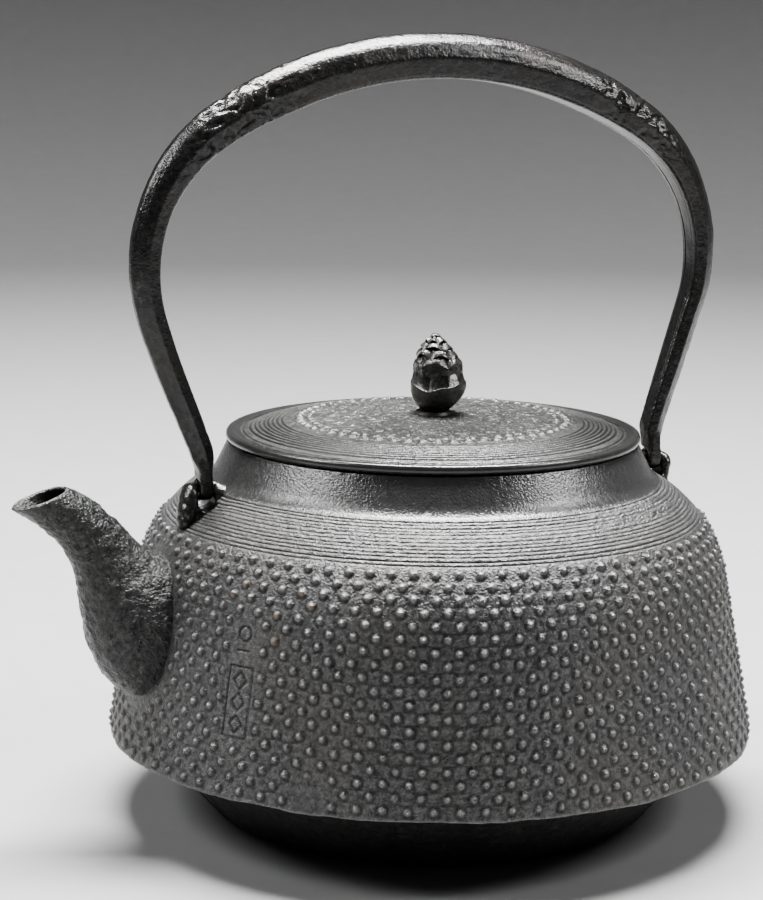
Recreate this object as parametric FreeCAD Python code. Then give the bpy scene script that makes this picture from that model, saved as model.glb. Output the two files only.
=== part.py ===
import FreeCAD, Part
import math
import os
from FreeCAD import Vector

# Cast iron kettle with a swinging bail handle. Millimetres, +Z up, origin at the middle of the
# flat base. The spout points to -X and the bail stands in the XZ plane.

# ---- Vessel ------------------------------------------------------------------------------------
WALL = 4.0
SKIRT_EDGE = (91.0, 22.2)          # (radius, height) of the lowest edge of the overhanging wall
BROW = (79.7, 84.0)                # where the side wall would meet the sloping shoulder
BROW_ROUND = 36.0
COLLAR = (62.0, 95.1)              # where the shoulder turns up into the neck
COLLAR_ROUND = 8.0
RIM = (57.6, 104.0)                # outer edge of the mouth
RIM_ROUND = 1.2

# ---- Bottom pan, let in under the skirt ----------------------------------------------------------
PAN_WALL = 3.6
PAN_FOOT = 62.0                    # radius of the flat that stands on the table
PAN_FLARE = (80.0, 21.5)
SOCKET_RADIUS = 86.0               # rebate in the side wall that takes the rim of the pan
SOCKET_TOP = 30.0
PAN_RIM_BOTTOM = 25.5
PAN_OUTER_ROUNDS = [0, 5.0, 6.0, 1.5, 0]
PAN_INNER_ROUNDS = [0, 6.0, 4.0, 3.0, 0]

# ---- Spout: (top point, under point, half width across, wall) from the body to the mouth ---------
SPOUT_STATIONS = [
    ((-70.0, 75.5), (-78.0, 36.0), 18.0, 4.5),
    ((-80.5, 77.9), (-91.5, 40.0), 16.5, 4.0),
    ((-84.0, 79.2), (-98.5, 48.0), 14.0, 3.5),
    ((-87.2, 81.4), (-102.4, 61.5), 11.0, 3.0),
    ((-90.2, 84.8), (-104.2, 72.7), 8.6, 2.6),
    ((-94.5, 89.3), (-107.0, 80.0), 7.3, 2.2),
    ((-99.2, 93.9), (-112.5, 86.0), 6.8, 1.8),
    ((-105.5, 97.0), (-121.0, 92.0), 6.8, 1.4),
]
SPOUT_SECTION_POINTS = 16
SPOUT_MOUTH_OVERRUN = 1.5          # how far the channel's cutter runs past the lip

# ---- Lugs, one at each end of the bail ------------------------------------------------------------
LUG_HALF_THICKNESS = 4.6           # along Y
LUG_SLOT = 4.9                     # gap between the two cheeks, along X
LUG_SLOT_HEIGHT = 40.0
LUG_CROWN = 1.4                    # rise of the cheeks above the middle of the bar
PIVOT_HEIGHT = 94.8                # height of the bar that the bail turns on
BAR_RADIUS = 1.4
EYE_RADIUS = 2.5                   # hollow under the bar that lets the hook round
EYE_HEIGHT = 91.0
# Cheek seen from the side: (out from the bar, up from the crown, corner radius)
LUG_SIDE_OUTLINE = [
    (-6.6, -12.0, 0), (-6.6, -2.2, 2.0), (-4.0, 0.0, 2.2), (3.0, 0.0, 2.4),
    (5.4, -4.0, 2.6), (5.6, -10.5, 2.0), (3.2, -14.5, 1.5), (-1.0, -12.0, 0),
]
# Lug seen from its outer end: (across, up from the crown, corner radius)
LUG_END_OUTLINE = [
    (-LUG_HALF_THICKNESS, -9.0, 6.0), (-LUG_HALF_THICKNESS, 0.0, 3.8),
    (LUG_HALF_THICKNESS, 0.0, 3.8), (LUG_HALF_THICKNESS, -9.0, 6.0),
    (0.3 * LUG_HALF_THICKNESS, -14.7, 1.2), (-0.3 * LUG_HALF_THICKNESS, -14.7, 1.2),
]

# ---- Bail handle ----------------------------------------------------------------------------------
HANDLE_TOP = 216.8
APEX_THICKNESS = 12.4
APEX_BEND = 120.0                  # bend radius of the centre line over the top
SIDE_REACH = 84.5                  # widest half span of the centre line
SIDE_HEIGHT = 154.0                # height of the widest place
LEG_LEAN = math.radians(18.5)      # the legs lean inwards towards the lugs
ANKLE_BEND = 30.0                  # the legs straighten up again just above the hooks
ANKLE_END = 98.0
HOLLOW_END_FROM_PIVOT = 20.0       # the rolled shell stops here and solid metal carries on
SHELL_THICKNESS = 1.5
PLATE_THICKNESS = 1.3
# (distance from the top along the centre line, radial thickness, width along Y)
HANDLE_SIZES = [
    (0.0, APEX_THICKNESS, 14.0),
    (45.0, 12.2, 13.4),
    (70.0, 10.8, 12.0),
    (95.0, 8.2, 10.2),
    (120.0, 7.2, 9.2),
    (150.0, 6.4, 8.0),
    (175.0, 5.2, 6.6),
    (190.0, 4.3, 5.4),
]
STATION_SPACING = 14.0
SHOULDER_SHARE = -0.02             # widest place of the section, as a share of its thickness
INNER_WIDTH_SHARE = 0.72           # width of the section's flat inside, as a share of its width
HOOK_WIDTH = 3.7
HOOK_GAP = 0.25                    # running room round the bar
HOOK_THICKNESS = 2.0
HOOK_SWEEP = 225.0
ANKLE_SET_FORWARD = 12.0           # height above the pivot where the leg starts to step forward
ANKLE_HEIGHTS = [HOLLOW_END_FROM_PIVOT, 16.0, ANKLE_SET_FORWARD, 8.0, 4.0, 0.0]

# ---- Lid -------------------------------------------------------------------------------------------
PART_GAP = 0.3                     # between the lid and the vessel
LID_RADIUS = 58.2
LID_BORE = 2.05
LID_CROWN = 111.4
LID_UNDER_CROWN = 108.2
LID_PAD = 6.0                      # flat in the middle that the knob's washer sits on
LID_UNDER_PAD = 8.0                # flat below that the under washer turns against
# The lid's top from the dome out to the beaded edge: (radius, height, corner radius)
LID_TOP_OUTLINE = [
    (34.0, 110.4, 160.0), (51.5, 108.0, 30.0), (54.6, 106.5, 4.0), (57.0, 107.2, 1.0),
    (LID_RADIUS, 106.2, 0.8), (LID_RADIUS, 105.3, 0.6),
]
LID_SEAT_EDGE = 57.2
LID_UNDER_DOME = (30.0, 106.6, 60.0)
RING_OUTER = 52.4
RING_INNER = 49.9
RING_BOTTOM = 97.5
RING_ROUND = 0.8

# ---- Knob ------------------------------------------------------------------------------------------
SHANK_RADIUS = 2.0
WASHER_RADIUS = 5.4
WASHER_THICKNESS = 0.9
AXIAL_PLAY = 0.2
KNOB_TOP = 134.0
KNOB_RADIUS = 8.0
KNOB_FOOT = (4.0, 0.8)             # (radius, corner radius)
CUP_BELLY = (6.6, 115.0, 4.0)
CUP_RIM = 119.3
CONE_START = 121.2
CONE_RADIUS = 7.6
TIERS = 5
TIER_SPREAD = math.radians(78.0)   # the tiers' radii follow a cosine over this angle
TIER_STEP = 0.35                   # how far each tier draws in under the next
TIP_RADIUS = 0.8
TIP_DROP = 1.0                     # the last tier ends this far below the tip
SHANK_TOP = 118.0
UNDER_WASHER_RADIUS = 6.0
UNDER_WASHER_THICKNESS = 1.2
RIVET_HEAD_RADIUS = 3.4
RIVET_HEAD_THICKNESS = 1.4

CUTTER_OVERRUN = 1.0               # how far cutting solids reach past what they cut
LIFT_UP = Vector(0, 0, 1)
ORIGIN = Vector(0, 0, 0)


def towards(start, end):
    """Unit vector from one flat point to another."""
    dx = end[0] - start[0]
    dz = end[1] - start[1]
    length = math.hypot(dx, dz)
    return dx / length, dz / length


def inset_path(points, thickness):
    """The parallel of an open path, on its left-hand side."""
    directions = [towards(a, b) for a, b in zip(points, points[1:])]
    normals = [(-dz, dx) for dx, dz in directions]
    inset = [(points[0][0] + normals[0][0] * thickness, points[0][1] + normals[0][1] * thickness)]
    for point, before, after in zip(points[1:], normals, normals[1:]):
        share = thickness / (1.0 + before[0] * after[0] + before[1] * after[1])
        inset.append((point[0] + (before[0] + after[0]) * share,
                      point[1] + (before[1] + after[1]) * share))
    last = normals[-1]
    inset.append((points[-1][0] + last[0] * thickness, points[-1][1] + last[1] * thickness))
    return inset


def rounded_face(corners):
    """A face in the XZ plane from (x, z, corner radius) entries, with tangent arcs at the corners."""
    edges = []
    ends = []
    count = len(corners)
    for index, (x, z, radius) in enumerate(corners):
        back = towards((x, z), corners[index - 1])
        onward = towards((x, z), corners[(index + 1) % count])
        corner = Vector(x, 0, z)
        if radius == 0:
            ends.append((corner, corner, None))
            continue
        half = math.acos(max(-1.0, min(1.0, back[0] * onward[0] + back[1] * onward[1]))) / 2
        run = radius / math.tan(half)
        middle = Vector(back[0] + onward[0], 0, back[1] + onward[1]).normalize()
        reach = radius / math.sin(half) - radius
        ends.append((corner + Vector(back[0], 0, back[1]) * run,
                     corner + Vector(onward[0], 0, onward[1]) * run,
                     corner + middle * reach))
    for index, (arrive, leave, middle) in enumerate(ends):
        if middle is not None:
            edges.append(Part.Arc(arrive, middle, leave).toShape())
        following = ends[(index + 1) % count][0]
        if leave.distanceToPoint(following) > 1e-6:
            edges.append(Part.LineSegment(leave, following).toShape())
    return Part.Face(Part.Wire(edges))


def turned(corners):
    """A solid of revolution about Z from (radius, height, corner radius) entries."""
    return rounded_face(corners).revolve(ORIGIN, LIFT_UP, 360)


def rod_along_x(radius, centre_x, centre_z, length):
    start = Vector(centre_x - length / 2, 0, centre_z)
    return Part.makeCylinder(radius, length, start, Vector(1, 0, 0))


def rod_along_y(radius, centre_x, centre_z, length):
    start = Vector(centre_x, -length / 2, centre_z)
    return Part.makeCylinder(radius, length, start, Vector(0, 1, 0))


def mirrored(shape):
    """The same piece at the other end of the bail."""
    return shape.mirror(ORIGIN, Vector(1, 0, 0))


# ---- Vessel ------------------------------------------------------------------------------------
WALL_PATH = [SKIRT_EDGE, BROW, COLLAR, RIM]
WALL_ROUNDS = [0, BROW_ROUND, COLLAR_ROUND, RIM_ROUND]


def vessel_envelope():
    """Everything inside the vessel's outer surface, used to trim what stands on it."""
    corners = [(x, z, radius) for (x, z), radius in zip(WALL_PATH, WALL_ROUNDS)]
    return turned([(0, SKIRT_EDGE[1], 0)] + corners + [(0, RIM[1], 0)])


def kettle_body(spout_channel):
    inner = inset_path(WALL_PATH, WALL)
    inner_rounds = [0, BROW_ROUND - WALL, COLLAR_ROUND + WALL, RIM_ROUND]
    outer_corners = [(x, z, radius) for (x, z), radius in zip(WALL_PATH, WALL_ROUNDS)]
    inner_corners = [(x, z, radius) for (x, z), radius in zip(inner, inner_rounds)]
    inner_corners[0] = (inner[0][0], SKIRT_EDGE[1], 0)
    inner_corners[-1] = (inner[-1][0], RIM[1], RIM_ROUND)
    body = turned(outer_corners + inner_corners[::-1])
    socket = Part.makeCylinder(SOCKET_RADIUS, SOCKET_TOP)
    body = body.cut(socket).cut(spout_channel)
    for side in (-1, 1):
        eye = rod_along_y(EYE_RADIUS, side * hook_reach(), EYE_HEIGHT, 2 * LUG_HALF_THICKNESS)
        body = body.cut(eye)
    return body


def kettle_bottom():
    outer = [(0, 0), (PAN_FOOT, 0), PAN_FLARE, (SOCKET_RADIUS, PAN_RIM_BOTTOM),
             (SOCKET_RADIUS, SOCKET_TOP)]
    inner = inset_path(outer, PAN_WALL)
    corners = [(x, z, radius) for (x, z), radius in zip(outer, PAN_OUTER_ROUNDS)]
    corners += [(x, z, radius) for (x, z), radius in zip(inner, PAN_INNER_ROUNDS)][::-1]
    return turned(corners)


# ---- Spout ---------------------------------------------------------------------------------------
def oval(top, under, half_width, shrink):
    """A closed oval standing on the segment from under to top, shrunk evenly by a wall thickness."""
    dx, dz = towards(under, top)
    half_height = math.hypot(top[0] - under[0], top[1] - under[1]) / 2 - shrink
    middle = Vector((top[0] + under[0]) / 2, 0, (top[1] + under[1]) / 2)
    points = []
    for step in range(SPOUT_SECTION_POINTS):
        angle = 2 * math.pi * step / SPOUT_SECTION_POINTS
        along = Vector(dx, 0, dz) * (half_height * math.cos(angle))
        across = Vector(0, (half_width - shrink) * math.sin(angle), 0)
        points.append(middle + along + across)
    curve = Part.BSplineCurve()
    curve.interpolate(Points=points, PeriodicFlag=True)
    return Part.Wire(curve.toShape())


def spout_outer():
    return Part.makeLoft([oval(top, under, width, 0)
                          for top, under, width, _ in SPOUT_STATIONS], True, False)


def spout_channel():
    sections = [oval(*station) for station in SPOUT_STATIONS]
    top, under, width, wall = SPOUT_STATIONS[-1]
    dx, dz = towards(under, top)
    overrun = Vector(-dz, 0, dx) * SPOUT_MOUTH_OVERRUN
    past_lip = oval(top, under, width, wall)
    past_lip.translate(overrun)
    return Part.makeLoft(sections + [past_lip], True, False)


# ---- Bail handle ---------------------------------------------------------------------------------
def handle_layout():
    """Centre line of one half of the bail, as (kind, length, ...) pieces from the top down."""
    apex_height = HANDLE_TOP - APEX_THICKNESS / 2
    apex_centre = apex_height - APEX_BEND
    rise = SIDE_HEIGHT - apex_centre
    side_bend = ((APEX_BEND ** 2 - SIDE_REACH ** 2 - rise ** 2)
                 / (2 * (APEX_BEND - SIDE_REACH)))
    side_centre = SIDE_REACH - side_bend
    apex_turn = math.atan2(side_centre, rise)
    side_turn = math.pi / 2 + LEG_LEAN - apex_turn
    leg_start_z = SIDE_HEIGHT - side_bend * math.sin(LEG_LEAN)
    leg_end_z = ANKLE_END + ANKLE_BEND * math.sin(LEG_LEAN)
    leg_length = (leg_start_z - leg_end_z) / math.cos(LEG_LEAN)
    return [
        ("arc", APEX_BEND * apex_turn, APEX_BEND),
        ("arc", side_bend * side_turn, side_bend),
        ("line", leg_length, 0),
        ("arc", ANKLE_BEND * LEG_LEAN, -ANKLE_BEND),
    ]


def handle_frame(distance):
    """Point on the centre line and its downward turn, at a distance from the top."""
    x = 0.0
    z = HANDLE_TOP - APEX_THICKNESS / 2
    turn = 0.0
    left = distance
    for kind, length, radius in handle_layout():
        step = min(left, length)
        if kind == "arc":
            end = turn + step / radius
            x += radius * (math.sin(end) - math.sin(turn))
            z += radius * (math.cos(end) - math.cos(turn))
            turn = end
        else:
            x += step * math.cos(turn)
            z -= step * math.sin(turn)
        left -= step
        if left <= 0:
            break
    x += left * math.cos(turn)
    z -= left * math.sin(turn)
    return x, z, turn


def hook_reach():
    """How far from the middle the hooks, the bars and the lugs stand."""
    return handle_frame(sum(piece[1] for piece in handle_layout()))[0]


def hollow_end():
    """Distance from the top where the rolled shell meets the solid end."""
    total = sum(piece[1] for piece in handle_layout())
    return total - (PIVOT_HEIGHT + HOLLOW_END_FROM_PIVOT - ANKLE_END)


def handle_size(distance):
    """Radial thickness and width at a distance from the top."""
    for (near, thick_a, wide_a), (far, thick_b, wide_b) in zip(HANDLE_SIZES, HANDLE_SIZES[1:]):
        if distance <= far:
            share = (distance - near) / (far - near)
            return thick_a + (thick_b - thick_a) * share, wide_a + (wide_b - wide_a) * share
    return HANDLE_SIZES[-1][1:]


def section_points(distance, side, points, forward=0.0):
    """Places (outward, across) points of a section on the centre line."""
    x, z, turn = handle_frame(distance)
    outward = Vector(math.sin(turn), 0, math.cos(turn))
    middle = Vector(x, forward, z)
    placed = [middle + outward * out + Vector(0, across, 0) for out, across in points]
    return [Vector(side * point.x, point.y, point.z) for point in placed]


def d_outline(thickness, width):
    """Crowned outside, sloping cheeks and a flat inside: (outward, across) points."""
    half = width / 2
    shoulder = SHOULDER_SHARE * thickness
    inner_half = INNER_WIDTH_SHARE * half
    return [(shoulder, -half), (0.5 * thickness, 0), (shoulder, half),
            (-0.5 * thickness, inner_half), (-0.5 * thickness, -inner_half)]


def d_wire(points):
    left, crown, right, inner_right, inner_left = points
    return Part.Wire([
        Part.Arc(left, crown, right).toShape(),
        Part.LineSegment(right, inner_right).toShape(),
        Part.LineSegment(inner_right, inner_left).toShape(),
        Part.LineSegment(inner_left, left).toShape(),
    ])


def signed_stations():
    """Distances along the whole arch from one hollow end to the other."""
    count = math.ceil(2 * hollow_end() / STATION_SPACING)
    return [hollow_end() * (2 * step / count - 1) for step in range(count + 1)]


def arch_loft(outline):
    """Lofts an outline(thickness, width) -> points along the hollow arch."""
    wires = []
    for station in signed_stations():
        side = -1 if station < 0 else 1
        points = outline(*handle_size(abs(station)))
        wires.append(d_wire(section_points(abs(station), side, points)))
    return Part.makeLoft(wires, True, False)


def hollow_outline(thickness, width):
    """Room inside the shell, open through its flat inner side."""
    half = width / 2 - SHELL_THICKNESS
    mouth = INNER_WIDTH_SHARE * width / 2 - SHELL_THICKNESS * 0.8
    shoulder = SHOULDER_SHARE * thickness
    past_inside = -0.5 * thickness - CUTTER_OVERRUN
    return [(shoulder, -half), (0.5 * thickness - SHELL_THICKNESS, 0), (shoulder, half),
            (past_inside, mouth), (past_inside, -mouth)]


def handle_shell():
    return arch_loft(d_outline).cut(arch_loft(hollow_outline))


def handle_inner_plate():
    """Strip that closes the underside of the rolled shell."""
    def above_plate(thickness, width):
        half = width / 2
        floor = -0.5 * thickness + PLATE_THICKNESS
        return [(floor + 0.1, -half), (0.5 * thickness + CUTTER_OVERRUN, 0), (floor + 0.1, half),
                (floor, 0.98 * half), (floor, -0.98 * half)]
    closed = arch_loft(d_outline).common(arch_loft(hollow_outline))
    return closed.cut(arch_loft(above_plate))


def ring_sector(inner, outer, centre_x, width, sweep):
    """Part of a flat ring round the X axis of the pivot, from the front down and round the back."""
    x_low = centre_x - width / 2
    corners = [
        Vector(x_low, -inner, PIVOT_HEIGHT),
        Vector(x_low, -outer, PIVOT_HEIGHT),
        Vector(x_low + width, -outer, PIVOT_HEIGHT),
        Vector(x_low + width, -inner, PIVOT_HEIGHT),
    ]
    face = Part.Face(Part.makePolygon(corners + corners[:1]))
    return face.revolve(Vector(0, 0, PIVOT_HEIGHT), Vector(1, 0, 0), sweep)


def handle_hook():
    """Solid end of the bail at +X: it narrows, steps forward and hooks under the bar."""
    inner = BAR_RADIUS + HOOK_GAP
    outer = inner + HOOK_THICKNESS
    reach = hook_reach()
    total = sum(piece[1] for piece in handle_layout())
    to_pivot = total + ANKLE_END - PIVOT_HEIGHT
    hook = ring_sector(inner, outer, reach, HOOK_WIDTH, HOOK_SWEEP)
    wires = []
    for height in ANKLE_HEIGHTS:
        share = min(1.0, height / ANKLE_SET_FORWARD)
        ease = share * share * (3 - 2 * share)
        thickness, width = handle_size(to_pivot - height)
        thickness = HOOK_WIDTH + (thickness - HOOK_WIDTH) * ease
        width = HOOK_THICKNESS + (width - HOOK_THICKNESS) * ease
        forward = -(inner + outer) / 2 * (1 - ease)
        crown = 0.5 * thickness
        cheek = crown * (1 - (1 - 2 * SHOULDER_SHARE) * ease) if height else crown - 0.02
        narrow = 1 - (1 - INNER_WIDTH_SHARE) * ease
        points = [(cheek, -width / 2), (crown, 0), (cheek, width / 2),
                  (-crown, narrow * width / 2), (-crown, -narrow * width / 2)]
        wires.append(d_wire(section_points(to_pivot - height, 1, points, forward)))
    return hook.fuse(Part.makeLoft(wires, True, False)).removeSplitter()


# ---- Lugs ------------------------------------------------------------------------------------------
def lug(envelope):
    """Cast lug at +X: two rounded cheeks joined by the bar, on the slope of the shoulder."""
    reach = hook_reach()
    top = PIVOT_HEIGHT + LUG_CROWN
    side_view = rounded_face([(reach + out, top + up, radius) for out, up, radius in LUG_SIDE_OUTLINE])
    side_view = side_view.extrude(Vector(0, 2 * LUG_HALF_THICKNESS, 0))
    side_view.translate(Vector(0, -LUG_HALF_THICKNESS, 0))
    end_view = rounded_face([(across, top + up, radius) for across, up, radius in LUG_END_OUTLINE])
    end_view.rotate(ORIGIN, LIFT_UP, 90)
    end_view = end_view.extrude(Vector(2 * reach, 0, 0))
    cheeks = side_view.common(end_view).cut(envelope)
    slot = Part.makeBox(LUG_SLOT, 4 * LUG_HALF_THICKNESS, LUG_SLOT_HEIGHT,
                        Vector(reach - LUG_SLOT / 2, -2 * LUG_HALF_THICKNESS,
                               PIVOT_HEIGHT - LUG_SLOT_HEIGHT / 2))
    bar = rod_along_x(BAR_RADIUS, reach, PIVOT_HEIGHT, LUG_SLOT + 2 * CUTTER_OVERRUN)
    return cheeks.cut(slot).fuse(bar).removeSplitter()


# ---- Lid -------------------------------------------------------------------------------------------
LID_SEAT = RIM[1] + PART_GAP


def lid_disc():
    return turned([
        (LID_BORE, LID_UNDER_CROWN, 0), (LID_BORE, LID_CROWN, 0), (LID_PAD, LID_CROWN, 0),
        *LID_TOP_OUTLINE, (LID_SEAT_EDGE, LID_SEAT, 0.6), (RING_INNER, LID_SEAT, 0),
        LID_UNDER_DOME, (LID_UNDER_PAD, LID_UNDER_CROWN, 10.0),
    ])


def lid_locating_ring():
    return turned([
        (RING_INNER, LID_SEAT, 0), (RING_INNER, RING_BOTTOM, RING_ROUND),
        (RING_OUTER, RING_BOTTOM, RING_ROUND), (RING_OUTER, LID_SEAT, 0)])


# ---- Knob ------------------------------------------------------------------------------------------
SEAT_TOP = LID_CROWN + WASHER_THICKNESS
KNOB_BOTTOM = SEAT_TOP + AXIAL_PLAY
WASHER_TOP = LID_UNDER_CROWN - AXIAL_PLAY


def knob_seat_washer():
    return turned([(LID_BORE, LID_CROWN, 0), (WASHER_RADIUS, LID_CROWN, 0),
                   (WASHER_RADIUS - 0.6, SEAT_TOP, 0.5), (LID_BORE, SEAT_TOP, 0)])


def knob_pinecone():
    """Smooth cup below, then tiers of scales that step in towards a blunt tip."""
    corners = [(SHANK_RADIUS, KNOB_BOTTOM, 0), (KNOB_FOOT[0], KNOB_BOTTOM, KNOB_FOOT[1]), CUP_BELLY,
               (KNOB_RADIUS, CUP_RIM, 0.6), (KNOB_RADIUS - 1.2, CUP_RIM + 0.6, 0)]
    tier_height = (KNOB_TOP - TIP_DROP - CONE_START) / TIERS
    for tier in range(TIERS):
        low = CONE_START + tier * tier_height
        radius = CONE_RADIUS * math.cos(TIER_SPREAD * tier / TIERS) ** 0.8
        shelf = CONE_RADIUS * math.cos(TIER_SPREAD * (tier + 1) / TIERS) ** 0.8
        corners.append((radius, low, 0.3))
        corners.append((shelf - TIER_STEP, low + tier_height, 0))
    corners += [(TIP_RADIUS, KNOB_TOP, 0), (0, KNOB_TOP, 0), (0, SHANK_TOP, 0),
                (SHANK_RADIUS, SHANK_TOP, 0)]
    return turned(corners)


def knob_shank():
    """Pin cast into the knob, passed through the lid and riveted over below."""
    head_top = WASHER_TOP - UNDER_WASHER_THICKNESS
    head_bottom = head_top - RIVET_HEAD_THICKNESS
    return turned([(0, head_bottom, 0), (RIVET_HEAD_RADIUS, head_bottom, 0.9),
                   (RIVET_HEAD_RADIUS, head_top, 0), (SHANK_RADIUS, head_top, 0),
                   (SHANK_RADIUS, SHANK_TOP, 0), (0, SHANK_TOP, 0)])


def knob_under_washer():
    low = WASHER_TOP - UNDER_WASHER_THICKNESS
    return turned([(SHANK_RADIUS, low, 0), (UNDER_WASHER_RADIUS, low, 0.3),
                   (UNDER_WASHER_RADIUS, WASHER_TOP, 0.3), (SHANK_RADIUS, WASHER_TOP, 0)])


def main():
    os.makedirs("parts", exist_ok=True)
    envelope = vessel_envelope()
    channel = spout_channel()
    rear_hook = handle_hook()
    rear_lug = lug(envelope)
    parts = {
        "kettle_body": kettle_body(channel),
        "kettle_bottom": kettle_bottom(),
        "spout": spout_outer().cut(envelope).cut(channel),
        "lug_rear": rear_lug,
        "lug_spout_side": mirrored(rear_lug),
        "handle_shell": handle_shell(),
        "handle_inner_plate": handle_inner_plate(),
        "handle_hook_rear": rear_hook,
        "handle_hook_spout_side": mirrored(rear_hook),
        "lid_disc": lid_disc(),
        "lid_locating_ring": lid_locating_ring(),
        "knob_seat_washer": knob_seat_washer(),
        "knob_pinecone": knob_pinecone(),
        "knob_shank": knob_shank(),
        "knob_under_washer": knob_under_washer(),
    }
    for name, shape in parts.items():
        shape.exportStep(f"parts/{name}.step")
        box = shape.BoundBox
        print(f"{name}: {len(shape.Solids)} solid, valid {shape.isValid()}, "
              f"{shape.Volume / 1000:.2f} cm3, z {box.ZMin:.1f} to {box.ZMax:.1f}, "
              f"x {box.XMin:.1f} to {box.XMax:.1f}")


main()
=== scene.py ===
import math

import bmesh
import bpy
import numpy as np
from mathutils import Matrix, Vector


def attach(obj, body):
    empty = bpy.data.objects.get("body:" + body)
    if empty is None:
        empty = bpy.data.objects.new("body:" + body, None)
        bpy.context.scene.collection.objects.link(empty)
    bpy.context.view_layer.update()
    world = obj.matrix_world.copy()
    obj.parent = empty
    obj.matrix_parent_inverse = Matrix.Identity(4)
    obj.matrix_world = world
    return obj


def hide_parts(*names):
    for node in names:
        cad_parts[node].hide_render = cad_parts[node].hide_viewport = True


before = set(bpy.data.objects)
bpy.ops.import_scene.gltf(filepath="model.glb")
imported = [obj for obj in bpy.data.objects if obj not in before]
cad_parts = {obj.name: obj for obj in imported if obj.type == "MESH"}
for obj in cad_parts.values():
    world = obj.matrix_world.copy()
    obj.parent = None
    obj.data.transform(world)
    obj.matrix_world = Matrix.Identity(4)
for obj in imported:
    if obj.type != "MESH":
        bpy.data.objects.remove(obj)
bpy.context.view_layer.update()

# The visual model of a cast iron kettle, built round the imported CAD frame. Lengths below are in
# millimetres unless a name says otherwise, and MM turns them into Blender's metres.
MM = 0.001
CAP_EDGE = math.radians(65)        # turns sharper than this show as edges on capped pieces

# ---- Camera ----
CAMERA_AZIMUTH = 0.42              # radians, from the front towards the spout
CAMERA_DISTANCE = 666.7
CAMERA_HEIGHT = 220.5
CAMERA_PITCH = 0.1779              # downwards
CAMERA_YAW = -0.0216
CAMERA_ROLL = 0.0101
CAMERA_LENS = 96.1                 # on a 36 mm sensor, along the picture's longer side

# ---- Vessel, as in the CAD ----
SKIRT_EDGE = (91.0, 22.2)
BROW = (79.7, 84.0)
COLLAR = (62.0, 95.1)
RIM = (57.6, 104.0)
BROW_ROUND = 36.0
COLLAR_ROUND = 8.0
SOCKET_RADIUS = 86.0
SOCKET_TOP = 30.0
PAN_RIM_BOTTOM = 25.5
PAN_FOOT = 62.0
PAN_FLARE = (80.0, 21.5)
PAN_WALL = 3.6

# ---- Raised dots and comb lines ----
DOTS_ROUND = 86
DOT_ROWS = 19
DOT_PITCH = 3.32                   # from row to row along the wall
FIRST_DOT_ROW = 2.5                # above the skirt's edge, along the wall
DOT_RADIUS = 1.28
DOT_HEIGHT = 1.0
COLUMNS_PER_HALF_PITCH = 7
STEPS_PER_ROW = 8
COMB_LINES = 13
COMB_SPACING = 1.18

# ---- Spout stations: (top point, under point, half width, wall) ----
SPOUT_STATIONS = [
    ((-70.0, 75.5), (-78.0, 36.0), 18.0, 4.5),
    ((-80.5, 77.9), (-91.5, 40.0), 16.5, 4.0),
    ((-84.0, 79.2), (-98.5, 48.0), 14.0, 3.5),
    ((-87.2, 81.4), (-102.4, 61.5), 11.0, 3.0),
    ((-90.2, 84.8), (-104.2, 72.7), 8.6, 2.6),
    ((-94.5, 89.3), (-107.0, 80.0), 7.3, 2.2),
    ((-99.2, 93.9), (-112.5, 86.0), 6.8, 1.8),
    ((-105.5, 97.0), (-121.0, 92.0), 6.8, 1.4),
]

# ---- Bail ----
HANDLE_TOP = 216.8
APEX_THICKNESS = 12.4
APEX_BEND = 120.0
SIDE_REACH = 84.5
SIDE_HEIGHT = 154.0
LEG_LEAN = math.radians(18.5)
ANKLE_BEND = 30.0
ANKLE_END = 98.0
PIVOT_HEIGHT = 94.8
HOLLOW_END_FROM_PIVOT = 20.0
SHELL_THICKNESS = 1.5
MOUTH_SHARE = 0.72                 # width of the rolled shell's mouth, of the bail's
CROWN_POINTS = 76
HANDLE_SIZES = [
    (0.0, APEX_THICKNESS, 14.0), (45.0, 12.2, 13.4), (70.0, 10.8, 12.0), (95.0, 8.2, 10.2),
    (120.0, 7.2, 9.2), (150.0, 6.4, 8.0), (175.0, 5.2, 6.6), (190.0, 4.3, 5.4),
]
HOOK_WIDTH = 3.7
HOOK_THICKNESS = 2.0
HOOK_MEAN_RADIUS = 2.65
HOOK_SWEEP = math.radians(225)
ANKLE_SET_FORWARD = 12.0           # above the pivot, where the leg starts to move off the middle
SPOUT_SIDE_SHIFT = 1.9             # the spout-side lug stands this much nearer the middle
EYE_RADIUS = 2.5
EYE_HEIGHT = 91.0
LUG_DISH = 1.7                     # how deep the shoulder is dished round a lug


# ---- Numbers ----
def lattice(ix, iy, iz, seed):
    """Repeatable random numbers from -1 to 1 for whole-number places."""
    mixed = (ix * 374761393 + iy * 668265263 + iz * 1440662683 + seed * 974634777) & 0xFFFFFFFF
    mixed = ((mixed ^ (mixed >> 13)) * 1274126177) & 0xFFFFFFFF
    return ((mixed ^ (mixed >> 16)) & 0xFFFF) / 32767.5 - 1.0


def noise(points, size, seed):
    """Smooth noise from -1 to 1 whose lumps are about size across."""
    scaled = np.asarray(points, float) / size
    cell = np.floor(scaled).astype(np.int64)
    inside = scaled - cell
    eased = inside * inside * (3 - 2 * inside)
    total = 0.0
    for corner in range(8):
        dx, dy, dz = corner & 1, (corner >> 1) & 1, (corner >> 2) & 1
        weight = ((eased[..., 0] if dx else 1 - eased[..., 0])
            * (eased[..., 1] if dy else 1 - eased[..., 1])
            * (eased[..., 2] if dz else 1 - eased[..., 2]))
        total = total + weight * lattice(cell[..., 0] + dx, cell[..., 1] + dy, cell[..., 2] + dz,
            seed)
    return total


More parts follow.
